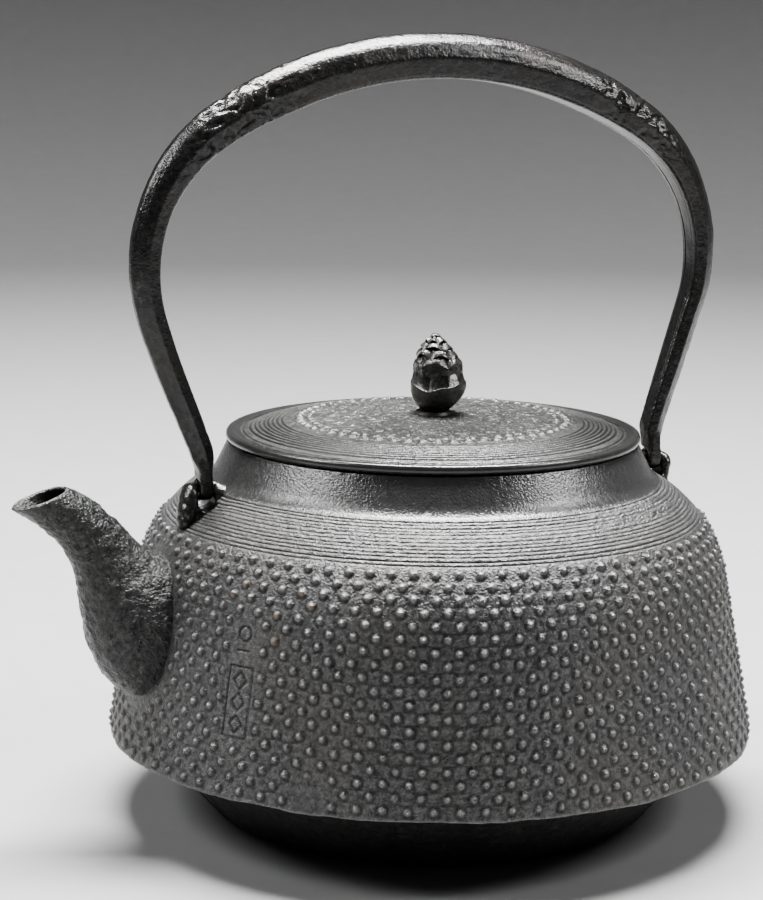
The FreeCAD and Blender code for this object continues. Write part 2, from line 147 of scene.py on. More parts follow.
def layered(points, size, seed, layers=3, falloff=0.5):
    """Noise with finer and weaker layers added."""
    total = 0.0
    for layer in range(layers):
        total = total + falloff ** layer * noise(points, size / 2 ** layer, seed + 31 * layer)
    return total


def step(value, low, high):
    """0 below low, 1 above high and smooth between."""
    share = np.clip((value - low) / (high - low), 0, 1)
    return share * share * (3 - 2 * share)


def window(value, low, risen, falling, high):
    """1 between risen and falling, 0 beyond low and high and smooth between."""
    return step(value, low, risen) * (1 - step(value, falling, high))


def spot(value, centre, reach):
    """1 at the centre, falling smoothly to 0 at reach."""
    return 1 - step(np.abs(value - centre), 0, reach)


def round_away(angle, centre):
    """Signed angle from a centre, from -pi to pi."""
    return (angle - centre + np.pi) % (2 * np.pi) - np.pi


# ---- Meshes ----
def in_scene(name, data):
    """A new object in the scene."""
    thing = bpy.data.objects.new(name, data)
    bpy.context.scene.collection.objects.link(thing)
    return thing


def read(items, name, kind=np.float32):
    """A three-number property of every item in a Blender collection."""
    values = np.empty(len(items) * 3, kind)
    items.foreach_get(name, values)
    return values.reshape(-1, 3)


def set_places(mesh, points):
    mesh.vertices.foreach_set("co", (points * MM).astype(np.float32).ravel())


def grid_object(name, grid, wrap_rows=False, cap_first=False, cap_last=False):
    """A smooth mesh from a (rows, columns, 3) grid of points whose columns go all the way round."""
    rows, columns = grid.shape[:2]
    index = np.arange(rows * columns).reshape(rows, columns)
    if wrap_rows:
        index = np.vstack([index, index[:1]])
    index = np.hstack([index, index[:, :1]])
    quads = np.stack([index[:-1, :-1], index[:-1, 1:], index[1:, 1:], index[1:, :-1]], -1)
    quads = quads.reshape(-1, 4)
    caps = [index[0, :-1][::-1]] * cap_first + [index[rows - 1, :-1]] * cap_last
    loops = np.concatenate([quads.ravel(), *caps]).astype(np.int32)
    sizes = np.concatenate([np.full(len(quads), 4), np.full(len(caps), columns)])
    starts = np.concatenate([[0], np.cumsum(sizes)[:-1]]).astype(np.int32)
    mesh = bpy.data.meshes.new(name)
    mesh.vertices.add(rows * columns)
    set_places(mesh, grid)
    mesh.loops.add(len(loops))
    mesh.loops.foreach_set("vertex_index", loops)
    mesh.polygons.add(len(starts))
    mesh.polygons.foreach_set("loop_start", starts)
    mesh.update(calc_edges=True)
    mesh.validate()
    mesh.shade_smooth()
    if cap_first or cap_last:
        mesh.set_sharp_from_angle(angle=CAP_EDGE)
    return in_scene(name, mesh)


def face_outwards(thing):
    """Turns the mesh's faces outwards if its volume comes out negative."""
    mesh = thing.data
    mesh.calc_loop_triangles()
    corners = read(mesh.loop_triangles, "vertices", np.int32)
    a, b, c = np.moveaxis(read(mesh.vertices, "co")[corners], 1, 0)
    if (a * np.cross(b, c)).sum() < 0:
        mesh.flip_normals()
    return thing


def store(thing, name, values):
    """Keeps one number per point on the mesh for its material to read."""
    layer = thing.data.attributes.new(name, "FLOAT", "POINT")
    layer.data.foreach_set("value", np.asarray(values, np.float32).ravel())


def closed(name, grid, capped=False):
    """A grid made into a closed piece: with end caps, or with its last row joined to its first."""
    return face_outwards(grid_object(name, grid, wrap_rows=not capped, cap_first=capped,
        cap_last=capped))


def unit(vectors):
    """The vectors with their lengths made 1."""
    return vectors / np.maximum(np.linalg.norm(vectors, axis=-1, keepdims=True), 1e-9)


def off_middle(grid):
    """How far each point of a grid lies from the middle of its row."""
    return grid - grid.mean(axis=1, keepdims=True)


def grid_normals(grid):
    """Unit normals of an open grid whose columns go all the way round."""
    around = np.roll(grid, -1, 1) - np.roll(grid, 1, 1)
    return unit(np.cross(around, np.gradient(grid, axis=0)))


def rounded_path(corners, spacing=0.25):
    """A dense (x, z) polyline through (x, z, corner radius) entries, with tangent arcs."""
    points = []
    last = len(corners) - 1
    for index, (x, z, radius) in enumerate(corners):
        corner = np.array([x, z])
        if radius == 0 or index in (0, last):
            points.append(corner)
            continue
        back = np.array(corners[index - 1][:2]) - corner
        onward = np.array(corners[index + 1][:2]) - corner
        back = back / np.linalg.norm(back)
        onward = onward / np.linalg.norm(onward)
        half = math.acos(np.clip(back @ onward, -1, 1)) / 2
        middle = (back + onward) / np.linalg.norm(back + onward)
        centre = corner + middle * radius / math.sin(half)
        start = corner + back * radius / math.tan(half) - centre
        end = corner + onward * radius / math.tan(half) - centre
        turn = math.pi - 2 * half
        count = max(3, int(radius * turn / spacing) + 1)
        for share in np.linspace(0, 1, count):
            blended = (math.sin((1 - share) * turn) * start + math.sin(share * turn) * end)
            points.append(centre + blended / math.sin(turn))
    return np.array(points)


def walk(path, distances):
    """Points at distances along a polyline."""
    lengths = np.concatenate([[0], np.cumsum(np.linalg.norm(np.diff(path, axis=0), axis=1))])
    return np.stack([np.interp(distances, lengths, path[:, axis]) for axis in range(2)], -1)


def path_length(path):
    return float(np.linalg.norm(np.diff(path, axis=0), axis=1).sum())


def evenly(path, count):
    """A number of points evenly spaced along a polyline."""
    return walk(path, np.linspace(0, path_length(path), count))


def outward_normals(profile):
    """Normals of an (r, z) profile walked upwards on the outside."""
    along = np.gradient(profile, axis=0)
    return unit(np.stack([along[:, 1], -along[:, 0]], -1))


def directions(count):
    return np.arange(count) * 2 * np.pi / count


def turned(profile, columns):
    """Angles, base points and outward normals of a surface of revolution."""
    angles = directions(columns)
    normals = outward_normals(profile)
    circle = np.stack([np.cos(angles), np.sin(angles)], -1)
    points = np.empty((len(profile), columns, 3))
    points[..., :2] = profile[:, None, :1] * circle
    points[..., 2] = profile[:, None, 1]
    facing = np.empty_like(points)
    facing[..., :2] = normals[:, None, :1] * circle
    facing[..., 2] = normals[:, None, 1]
    return angles, points, facing


# ---- Materials ----
BLACK = (0.034, 0.034, 0.035)
GREY = (0.125, 0.125, 0.123)
BROWN = (0.105, 0.092, 0.074)
OLIVE = (0.085, 0.088, 0.074)
WARM = (0.062, 0.046, 0.034)
RUST = (0.20, 0.125, 0.070)
BARE = (0.22, 0.22, 0.215)         # iron worn bright


class Nodes:
    """A short way to write a node material."""

    def __init__(self, name):
        self.material = bpy.data.materials.new(name)
        self.material.use_nodes = True
        self.tree = self.material.node_tree
        self.shader = self.tree.nodes["Principled BSDF"]
        self.place = self.add("ShaderNodeTexCoord").outputs["Object"]

    def add(self, kind, sockets=None, **settings):
        """Adds a node; sockets are linked, or set where they are given a number or a colour."""
        node = self.tree.nodes.new(kind)
        for key, value in settings.items():
            setattr(node, key, value)
        for key, value in (sockets or {}).items():
            if isinstance(value, bpy.types.NodeSocket):
                self.tree.links.new(value, node.inputs[key])
            else:
                node.inputs[key].default_value = (*value, 1) if isinstance(value, tuple) else value
        return node

    def texture(self, scale, detail=4.0, roughness=0.55, distortion=0.0):
        return self.add("ShaderNodeTexNoise", {"Scale": scale, "Detail": detail,
            "Roughness": roughness, "Distortion": distortion, "Vector": self.place}).outputs["Fac"]

    def remap(self, value, low, high, to_low=0.0, to_high=1.0):
        return self.add("ShaderNodeMapRange", {"Value": value, "From Min": low, "From Max": high,
            "To Min": to_low, "To Max": to_high}).outputs["Result"]

    def math(self, operation, first, second):
        return self.add("ShaderNodeMath", {0: first, 1: second}, operation=operation).outputs[0]

    def times(self, first, second):
        return self.math("MULTIPLY", first, second)

    def mix(self, share, first, second):
        return self.add("ShaderNodeMix", {0: share, 6: first, 7: second},
            data_type="RGBA").outputs[2]

    def attribute(self, name):
        return self.add("ShaderNodeAttribute", attribute_name=name).outputs["Fac"]

    def bump(self, height, distance, **under):
        return self.add("ShaderNodeBump", {"Distance": distance, "Strength": 1.0, "Height": height,
            **under}).outputs["Normal"]

    def finish(self, **sockets):
        """Links or sets the shader's own sockets, named with _ for a space."""
        for key, value in sockets.items():
            socket = self.shader.inputs[key.replace("_", " ")]
            if isinstance(value, bpy.types.NodeSocket):
                self.tree.links.new(value, socket)
            else:
                socket.default_value = value
        return self.material


def scaled(colour, factor):
    return tuple(factor * channel for channel in colour)


def iron(name, dark, light, tint, tint_amount=0.3, rough=(0.30, 0.50), grain=(1500.0, 0.0001),
        lump=(520.0, 0.00018), reads=()):
    """Lacquered, heat-darkened iron: faintly stained, grained, polished with a painted highlight on
    its high points, and given painted shade in its hollows.

    grain and lump are each (scale, bump depth), and reads names the point attributes to use."""
    nodes = Nodes(name)
    broad = nodes.texture(30.0, 4.0, 0.65, 0.4)
    middle = nodes.texture(700.0, 4.0, 0.65)
    fine = nodes.texture(grain[0], 2.0, 0.6)
    lumps = nodes.texture(lump[0], 3.0, 0.6)
    pointed = nodes.add("ShaderNodeNewGeometry").outputs["Pointiness"]
    # From curvature: high points are polished and get a painted highlight; hollows get painted
    # shade.
    polish_and_highlight = nodes.remap(pointed, 0.50, 0.57)
    hollow_shade = nodes.remap(pointed, 0.495, 0.43)
    colour = nodes.mix(nodes.remap(middle, 0.35, 0.68), dark, light)
    colour = nodes.mix(nodes.times(nodes.remap(broad, 0.48, 0.72), tint_amount), colour, tint)
    colour = nodes.mix(nodes.times(polish_and_highlight, 0.5), colour, scaled(light, 1.8))
    colour = nodes.mix(nodes.times(hollow_shade, 0.7), colour, scaled(dark, 0.3))
    roughness = nodes.remap(nodes.math("ADD", middle, broad), 0.75, 1.25, *rough)
    roughness = nodes.math("SUBTRACT", roughness, nodes.times(polish_and_highlight, 0.05))
    # Painted shade in grooves and hollows, read from a point attribute: a darker colour, and a
    # rougher surface.
    if "recess_shade" in reads:
        recess_shade = nodes.times(nodes.attribute("recess_shade"), 0.85)
        colour = nodes.mix(recess_shade, colour, scaled(dark, 0.2))
        roughness = nodes.math("ADD", roughness, nodes.times(recess_shade, 0.15))
    if "rust" in reads:
        colour = nodes.mix(nodes.times(nodes.attribute("rust"), 0.45), colour, RUST)
    if "worn" in reads:
        worn = nodes.times(nodes.attribute("worn"), 0.6)
        colour = nodes.mix(worn, colour, BARE)
        roughness = nodes.math("SUBTRACT", roughness, nodes.times(worn, 0.14))
    if "smooth" in reads:
        smooth = nodes.attribute("smooth")
        even = tuple((a + b) / 2 for a, b in zip(dark, light))
        colour = nodes.mix(nodes.times(smooth, 0.8), colour, even)
        roughness = nodes.math("SUBTRACT", roughness, nodes.times(smooth, 0.16))
        lumps = nodes.times(lumps, nodes.remap(smooth, 0.0, 1.0, 1.0, 0.15))
        fine = nodes.times(fine, nodes.remap(smooth, 0.0, 1.0, 1.0, 0.35))
    normal = nodes.bump(fine, grain[1], Normal=nodes.bump(lumps, lump[1]))
    return nodes.finish(Base_Color=colour, Roughness=roughness, Normal=normal, Metallic=0.6,
        Specular_IOR_Level=0.6)


def dress(thing, material, body, slot, *replaced):
    """Gives a piece its material and its place in the frame."""
    thing.data.materials.clear()
    thing.data.materials.append(material)
    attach(thing, body)
    if replaced:
        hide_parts(*replaced)
    return thing


# ---- Kettle body ----
OUTER_CORNERS = [(*SKIRT_EDGE, 0), (*BROW, BROW_ROUND), (*COLLAR, COLLAR_ROUND), (*RIM, 0)]
# Directions round the kettle of the features on its wall
SPOUT_ANGLE = math.pi
MARK_ANGLE = math.radians(-148.8)   # the small incised frame
WORN_ANGLE = math.radians(-133.5)   # a worn spot by the skirt
RUST_ANGLE = math.radians(-143)     # a few rusty dots
DASH_ANGLE = math.radians(-133)     # short dashes among the comb lines
FRET_ANGLE = math.radians(-57)      # a raised fret among the comb lines
MARK_HALF_WIDTH = 3.7
MARK_LOW, MARK_HIGH = 38.0, 56.0
BARE_HEIGHT, BARE_ACROSS, BARE_UP = 57.0, 19.0, 23.0   # the ellipse without dots round the spout
LEDGE_HEIGHT, SCRIBED_DEPTH, MARK_DEPTH = 0.10, 0.06, 0.45


def comb_distances(outer_length):
    """Where the comb lines run, measured along the outer profile from the skirt's edge."""
    top_row = FIRST_DOT_ROW + (DOT_ROWS - 1) * DOT_PITCH
    first = top_row + 2.5
    lines = first + COMB_SPACING * np.arange(COMB_LINES)
    lines = lines + 0.16 * lattice(np.arange(COMB_LINES), 3, 5, 11)
    return lines[lines < outer_length - 9.0]


def body_rows(outer_length, combs):
    """Distances along the outer profile for the grid's rows, close where the detail is."""
    below = np.linspace(0, FIRST_DOT_ROW, 7)[:-1]
    fine = DOT_PITCH / STEPS_PER_ROW
    dots = FIRST_DOT_ROW + fine * np.arange((DOT_ROWS - 1) * STEPS_PER_ROW + 6)
    combed = (combs[:, None] + np.array([-0.36, -0.2, 0, 0.2, 0.36])).ravel()
    neck = np.linspace(combs[-1] + 0.9, outer_length - 1.2, 14)
    lip = outer_length - np.array([0.9, 0.6, 0.35, 0.15, 0.0])
    return np.concatenate([below, dots[dots < combs[0] - 0.5], combed, neck, lip])


def dot_field(angles, distance, radius):
    """Height of the raised dots, the painted shade round their feet, and which dot is nearest."""
    row = np.clip(np.round((distance - FIRST_DOT_ROW) / DOT_PITCH), 0,
        DOT_ROWS - 1).astype(np.int64)
    turns = angles / (2 * np.pi) * DOTS_ROUND - 0.5 * (row % 2)
    column = np.round(turns).astype(np.int64)
    wrapped = column % DOTS_ROUND

    def vary(amount, number):
        return amount * lattice(row, wrapped, number, 7)

    pitch = 2 * np.pi * radius / DOTS_ROUND
    across = (turns - column) * pitch - vary(0.16, 1)
    along = distance - FIRST_DOT_ROW - row * DOT_PITCH - vary(0.14, 2)
    reach = np.sqrt(across ** 2 + along ** 2) / (DOT_RADIUS * (1 + vary(0.08, 3)))
    peak = np.clip(1 - reach ** 1.7, 0, 1) ** 1.3
    ditch = 0.10 * np.exp(-((reach - 1.15) / 0.22) ** 2)
    shade = np.exp(-((reach - 1.04) / 0.24) ** 2)
    return DOT_HEIGHT * (1 + vary(0.16, 4)) * (peak - ditch), shade, row, wrapped


def maze_relief(angles, distance, radius):
    """Short raised bars that run along or up from cell to cell, like an angular fret."""
    cell = 1.75
    across = angles * radius / cell
    up = distance / cell + 0 * across
    column, row = np.floor(across).astype(np.int64), np.floor(up).astype(np.int64)
    upright = lattice(column, row, 7, 31) > 0
    middle = np.where(upright, np.abs(across - column - 0.5), np.abs(up - row - 0.5))
    return spot(middle, 0.0, 0.36) * (lattice(column, row, 8, 33) > -0.7)


def mark_relief(across, height):
    """A plain incised frame with three lozenges in it and a ring and a bar above it."""
    sides = spot(np.abs(across), MARK_HALF_WIDTH, 0.45)
    sides = sides * window(height, MARK_LOW - 0.3, MARK_LOW, MARK_HIGH, MARK_HIGH + 0.3)
    ends = (spot(height, MARK_LOW, 0.4) + spot(height, MARK_HIGH,
        0.4)) * (np.abs(across) < MARK_HALF_WIDTH)
    relief = np.maximum(sides, ends)
    middle = (MARK_LOW + MARK_HIGH) / 2
    for centre in (middle - 5.6, middle, middle + 5.6):
        lozenge = np.abs(across) / 2.0 + np.abs(height - centre) / 2.3
        relief = np.maximum(relief, spot(lozenge, 1.0, 0.26))
    ring = np.hypot(across, (height - MARK_HIGH - 8.5))
    relief = np.maximum(relief, spot(ring, 1.9, 0.45))
    bar = (np.abs(across) < 2.0) * spot(height, MARK_HIGH + 4.2, 0.45)
    return np.maximum(relief, bar)


def comb_grooves(points, distance, combs, fretted):
    """The comb lines: deepest at the top, and broken in places."""
    grooves = np.zeros(points.shape[:2])
    for number, line in enumerate(combs):
        from_top = len(combs) - 1 - number
        depth = 0.36 if from_top in (0, 2) else 0.28 if from_top == 1 or number == 1 else 0.22
        broken = step(noise(points * [1, 1, 0.2] + 40 * number, 9.0, 17), -1.0, -0.35)
        broken = broken * (1 - 0.85 * fretted)
        grooves = np.maximum(grooves, spot(distance, line, 0.34) * depth * (0.35 + 0.65 * broken))
    return grooves


def clear_eyes(points):
    """Lowers the shoulder where the eyes of the lugs pass over it."""
    for eye in (HOOK_REACH, SPOUT_SIDE_SHIFT - HOOK_REACH):
        across = points[..., 0] - eye
        inside = (np.abs(across) < EYE_RADIUS - 0.03) & (np.abs(points[..., 1]) < 5.6)
        inside &= points[..., 2] > 80
        trough = EYE_HEIGHT - np.sqrt(np.clip(EYE_RADIUS ** 2 - across ** 2, 0, None))
        points[..., 2] = np.where(inside, np.minimum(points[..., 2], trough), points[..., 2])


def kettle_body():
    outer = rounded_path(OUTER_CORNERS)
    outer_length = path_length(outer)
    combs = comb_distances(outer_length)
    distance = body_rows(outer_length, combs)
    profile = walk(outer, distance)
    columns = DOTS_ROUND * 2 * COLUMNS_PER_HALF_PITCH
    angles, points, facing = turned(profile, columns)
    angles, distance = angles[None, :], distance[:, None]
    radius, height = profile[:, :1], profile[:, 1:]
    top_row = FIRST_DOT_ROW + (DOT_ROWS - 1) * DOT_PITCH
    combed = step(distance, combs[0] - 1.6, combs[0] - 0.6)
    neck = step(distance, combs[-1] + 0.3, combs[-1] + 1.2)

    dots, shade, row, column = dot_field(angles, distance, radius)
    by_spout = np.hypot(round_away(angles, SPOUT_ANGLE) * radius / BARE_ACROSS,
        (height - BARE_HEIGHT) / BARE_UP)
    off_spout = step(by_spout, 0.95, 1.05)
    mark_across = round_away(angles, MARK_ANGLE) * radius
    by_mark = (np.abs(mark_across) < 5.2) & (height > MARK_LOW - 2.2) & (height < MARK_HIGH + 12.5)
    worn_spot = np.hypot(round_away(angles, WORN_ANGLE) * radius / 7.0, (height - 27.0) / 5.5)
    present = step(by_spout, 0.97, 1.06) * ~by_mark * (0.12 + 0.88 * step(worn_spot, 0.6, 1.1))
    present = present * (1 - combed) * (distance < top_row + 1.6)

    rows_up = (distance - FIRST_DOT_ROW) / DOT_PITCH
    between = np.abs(rows_up - np.floor(rows_up) - 0.5) * DOT_PITCH
    scribed = (1 - step(between, 0.1, 0.45)) * (1 - combed) * off_spout
    scribed = scribed * step(noise(points, 26.0, 3), -0.6, 0.3) * ~(np.abs(mark_across) < 4.0)
    scribed = scribed * (distance > FIRST_DOT_ROW - 0.5)
    in_band = (rows_up + 0.5) % 1.0
    ledge = in_band ** 2 * (1 - step(in_band, 0.80, 1.0)) * (1 - combed) * off_spout
    ledge = ledge * step(distance, 0.5, 1.5)
    relief = dots * present - SCRIBED_DEPTH * scribed + LEDGE_HEIGHT * ledge

    maze = maze_relief(angles, distance, radius)
    dashed = np.exp(-(round_away(angles, DASH_ANGLE) / 0.36) ** 4) * spot(height, 90.5, 4.6)
    fretted = np.exp(-(round_away(angles, FRET_ANGLE) / 0.30) ** 4) * spot(height, 91.5, 4.4)
    grooves = comb_grooves(points, distance, combs, fretted)
    relief = relief - grooves * (1 - 0.25 * dashed)
    dashes = step(noise(points * [1, 1, 3.0], 2.6, 23), 0.2, 0.45)
    relief = relief - dashed * (0.18 * dashes + 0.12 * maze) + fretted * (0.34 * maze - 0.14)

    mark = mark_relief(mark_across, height) * (height < 75)
    relief = relief - MARK_DEPTH * mark
    skin = 0.085 * layered(points, 1.1, 41, 2) + 0.16 * noise(points, 17.0, 43)
    for side in (0.0, np.pi):
        beside = round_away(angles, side) * radius
        skin = skin - LUG_DISH * np.exp(-(beside / 13.0) ** 4) * spot(radius, HOOK_REACH - 1.0,
            9.0)
    skin = skin + 0.10 * layered(points, 2.4, 47, 2) * (1 - step(worn_spot, 0.5, 1.2))
    pits = step(noise(points, 1.6, 53), 0.55, 0.8) * step(noise(points, 14.0, 59), 0.1, 0.5)
    relief = relief + skin * (1 - 0.75 * neck) - 0.12 * pits * neck
    ragged = 1 - step(distance, 0.0, 1.6)
    points = points + facing * (relief + ragged * 0.25 * noise(points, 3.0, 61))[..., None]
    points[..., 2] += ragged * (0.30 * noise(points, 11.0, 67) + 0.18 * noise(points, 3.2, 71))
    clear_eyes(points)

    inner = inner_profile()
    _, inner_points, inner_facing = turned(inner, columns)
    rows = np.arange(len(inner))[:, None]
    settle = window(rows, 2, 6, len(inner) - 8, len(inner) - 5)
    inner_skin = 0.10 * layered(inner_points, 5.0, 73, 2) * settle
    inner_points = inner_points + inner_facing * inner_skin[..., None]
    grid = np.concatenate([points, inner_points])
    thing = closed("kettle_body_cast", grid)

    rusty = (row >= 12) & (row <= 16) & (np.abs(round_away(angles, RUST_ANGLE)) < 0.22)
    rust = 0.9 * (dots > 0.25 * DOT_HEIGHT) * rusty * (lattice(row, column, 9, 5) > 0.62)
    # Painted shade: darker round the dots' feet, in the incised mark, in the comb grooves and along
    # the scribed lines.
    recess_shade = np.maximum(0.6 * shade * present, 0.9 * mark)
    recess_shade = np.maximum(recess_shade, 0.75 * np.clip(3.0 * grooves, 0, 1))
    recess_shade = np.maximum(recess_shade, 0.28 * scribed)
    for name, values, within in (("rust", rust, 0.12), ("smooth", neck + 0 * dots, 0.0),
            ("worn", step(dots * present, 0.5, 1.05), 0.0), ("recess_shade", recess_shade, 0.0)):
        store(thing, name, np.concatenate([values, np.full(inner_points.shape[:2], within)]))
    return thing


def inner_profile():
    """The rest of the vessel's section: over the lip, down inside and round the skirt's edge."""
    corners = [(RIM[0] - 0.9, RIM[1], 0), (53.7, RIM[1], 0.6), (53.1, RIM[1] - 0.7, 0.5),
        (57.6, 95.2, 4.0), (59.6, 92.0, 12.0), (76.1, 81.5, 32.0), (85.2, SOCKET_TOP, 0.4),
        (SOCKET_RADIUS, SOCKET_TOP, 0.4), (SOCKET_RADIUS, SKIRT_EDGE[1] + 0.3, 0.6),
        (SKIRT_EDGE[0] - 1.0, SKIRT_EDGE[1] - 0.1, 0.0), ]
    return evenly(rounded_path(corners), 46)


# ---- Bottom pan ----
def kettle_bottom():
    """Rough casting; the grid goes from the middle underneath, up the flare and down inside."""
    under = [(3.0, 0.0, 0), (PAN_FOOT, 0.0, 5.0), (*PAN_FLARE, 6.0),
        (SOCKET_RADIUS - 0.05, PAN_RIM_BOTTOM, 1.5), (SOCKET_RADIUS - 0.05, SOCKET_TOP - 0.05, 0)]
    inside = [(82.4, SOCKET_TOP - 0.05, 0), (82.4, 27.6, 3.0), (77.9, 24.4, 4.0),
        (60.3, PAN_WALL, 6.0), (3.0, PAN_WALL, 0)]
    profile = np.concatenate([evenly(rounded_path(under), 150), evenly(rounded_path(inside), 60)])
    _, points, facing = turned(profile, 560)
    rim = step(profile[:, 1], 26.0, 27.0)
    flat = 1 - step(profile[:, 1], 0.05, 1.2)
    rough = 0.34 * np.abs(layered(points, 3.0, 101, 3)) - 0.12
    amount = (1 - rim) * (1 - 0.95 * flat)
    points = points + facing * (rough * amount[:, None])[..., None]
    points[..., 2] = np.maximum(points[..., 2], 0.0)
    return closed("kettle_bottom_cast", points, capped=True)


# ---- Spout ----
def smooth_stations(shares):
    """Catmull-Rom through the spout's stations: tops, unders, half widths and walls."""
    table = np.array([[*top, *under, width, wall] for top, under, width, wall in SPOUT_STATIONS])
    padded = np.vstack([2 * table[0] - table[1], table, 2 * table[-1] - table[-2]])
    place = np.clip(shares, 0, 1) * (len(table) - 1)
    start = np.minimum(place.astype(int), len(table) - 2)
    t = (place - start)[..., None]
    a, b, c, d = (padded[start + offset] for offset in range(4))
    return 0.5 * (2 * b + (c - a) * t + (2 * a - 5 * b + 4 * c - d) * t ** 2
        + (3 * b - a - 3 * c + d) * t ** 3)


def spout_points(shares, angles, shrink_share):
    """Points of the spout's skin (shrink_share 0) or its channel (shrink_share 1)."""
    values = smooth_stations(shares)
    top, under = values[..., 0:2], values[..., 2:4]
    width, wall = values[..., 4], values[..., 5]
    half = np.linalg.norm(top - under, axis=-1) / 2
    direction = (top - under) / (2 * half)[..., None]
    middle = (top + under) / 2
    half = half - wall * shrink_share
    width = width - wall * shrink_share
    along = middle + direction * (half * np.cos(angles))[..., None]
    return np.stack([along[..., 0], width * np.sin(angles), along[..., 1]], -1)


def wall_radius(height):
    path = rounded_path(OUTER_CORNERS)
    return np.interp(height, path[:, 1], path[:, 0])


def spout_start(angles, shrink_share, depth):
    """For each column, how far along the spout it comes out of the wall."""
    shares = np.linspace(0, 0.6, 400)
    grid = spout_points(*np.meshgrid(shares, angles, indexing="ij"), shrink_share)
    outside = np.hypot(grid[..., 0], grid[..., 1]) > wall_radius(grid[..., 2]) - depth
    return shares[np.argmax(outside, axis=0)]


def spout():
    columns = 150
    angles = directions(columns)
    rows = np.linspace(0, 1, 190)[:, None]
    start = spout_start(angles, 0, 1.6)
    outside = spout_points(start + rows * (1 - start), np.broadcast_to(angles, (190, columns)), 0)
    normals = grid_normals(outside)
    if (normals[95] * (outside[95] - outside[95].mean(0))).sum() < 0:
        normals = -normals
    skin = 0.26 * layered(outside, 1.5, 131, 3) + 0.30 * noise(outside, 9.0, 137)
    flats = 0.45 * np.abs(noise(outside, 5.0, 139))
    settle = 1 - 0.75 * step(rows, 0.93, 1.0)
    outside = outside + normals * ((skin - flats) * settle)[..., None]
    inside_rows = np.linspace(1, 0, 70)[:, None]
    inner_start = spout_start(angles, 1, 1.6)
    inside = spout_points(inner_start + inside_rows * (1 - inner_start),
        np.broadcast_to(angles, (70, columns)), 1)
    inside = inside + 0.10 * layered(inside, 3.0, 149, 2)[..., None] * grid_normals(inside)
    lip_out, lip_in = outside[-1], inside[0]
    lip = [lip_out * (1 - share) + lip_in * share + np.array([-0.3, 0, 1.0]) * 0.45
        * math.sin(math.pi * share) for share in (0.15, 0.35, 0.6, 0.85)]
    grid = np.concatenate([outside, np.array(lip), inside])
    return closed("spout_cast", grid)


# ---- Bail handle ----
def handle_layout():
    apex_centre = HANDLE_TOP - APEX_THICKNESS / 2 - APEX_BEND
    rise = SIDE_HEIGHT - apex_centre
    side_bend = (APEX_BEND ** 2 - SIDE_REACH ** 2 - rise ** 2) / (2 * (APEX_BEND - SIDE_REACH))
    apex_turn = math.atan2(SIDE_REACH - side_bend, rise)
    side_turn = math.pi / 2 + LEG_LEAN - apex_turn
    leg_start = SIDE_HEIGHT - side_bend * math.sin(LEG_LEAN)
    leg_end = ANKLE_END + ANKLE_BEND * math.sin(LEG_LEAN)
    return [("arc", APEX_BEND * apex_turn, APEX_BEND), ("arc", side_bend * side_turn, side_bend),
        ("line", (leg_start - leg_end) / math.cos(LEG_LEAN), 0),
        ("arc", ANKLE_BEND * LEG_LEAN, -ANKLE_BEND)]


HANDLE_LAYOUT = handle_layout()
HANDLE_LENGTH = sum(piece[1] for piece in HANDLE_LAYOUT)


def handle_frame(distance):
    """Point and downward turn of the bail's centre line, at a distance from the top."""
    x, z, turn, left = 0.0, HANDLE_TOP - APEX_THICKNESS / 2, 0.0, distance
    for kind, length, radius in HANDLE_LAYOUT:
        run = min(left, length)
        if kind == "arc":
            end = turn + run / radius
            x += radius * (math.sin(end) - math.sin(turn))
            z += radius * (math.cos(end) - math.cos(turn))
            turn = end
        else:
            x += run * math.cos(turn)
            z -= run * math.sin(turn)
        left -= run
        if left <= 0:
            break
    return x + left * math.cos(turn), z - left * math.sin(turn), turn


HOOK_REACH = handle_frame(HANDLE_LENGTH)[0]
TO_PIVOT = HANDLE_LENGTH + ANKLE_END - PIVOT_HEIGHT
HOLLOW_END = TO_PIVOT - HOLLOW_END_FROM_PIVOT


def handle_size(distance):
    """The bail's thickness and width."""
    stops, thicknesses, widths = np.array(HANDLE_SIZES).T
    return float(np.interp(distance, stops, thicknesses)), float(np.interp(distance, stops,
        widths))


def mirrored(side):
    """Half an outline of (out, across, corner radius), and the same on the other side."""
    return side + [(out, -across, radius) for out, across, radius in side[::-1]]


def d_section(thickness, width, count, facet):
    """Round the outside of the bail's section, from one inner edge over the crown to the other.

    facet goes from 0, a rounded crown, to 1, flat faces that meet in a ridge."""
    half = width / 2
    shoulder = (-0.04 * thickness, -half, (0.20 - 0.16 * facet) * thickness)
    upper = ((0.30 - 0.06 * facet) * thickness, (-0.80 + 0.16 * facet) * half,
        (0.45 + 0.6 * facet) * thickness)
    crown = (0.5 * thickness, -0.24 * half, (0.8 - 0.6 * facet) * half)
    side = [(-0.5 * thickness, -0.70 * half, 0), (-0.44 * thickness, -0.84 * half, 0.4), shoulder,
        upper, crown]
    corners = mirrored(side)
    for index in range(1, 9):
        before, here, after = (np.array(corners[index + offset][:2]) for offset in (-1, 0, 1))
        room = 0.42 * min(np.linalg.norm(here - before), np.linalg.norm(after - here))
        angle = math.acos(np.clip((before - here) @ (after - here) / np.linalg.norm(before - here)
            / np.linalg.norm(after - here), -1, 1))
        limit = room * math.tan(angle / 2)
        corners[index] = (*corners[index][:2], min(corners[index][2], limit))
    return evenly(rounded_path(corners, 0.1), count)


def place_section(distance, side, section, forward=0.0):
    x, z, turn = handle_frame(distance)
    outward = np.array([math.sin(turn), 0, math.cos(turn)])
    points = (np.array([x, forward, z]) + section[:, :1] * outward
        + section[:, 1:] * np.array([0.0, 1.0, 0.0]))
    points[:, 0] *= side
    if side < 0:
        points[:, 0] += SPOUT_SIDE_SHIFT * (1 - step(z, 98.0, 135.0))
    return points


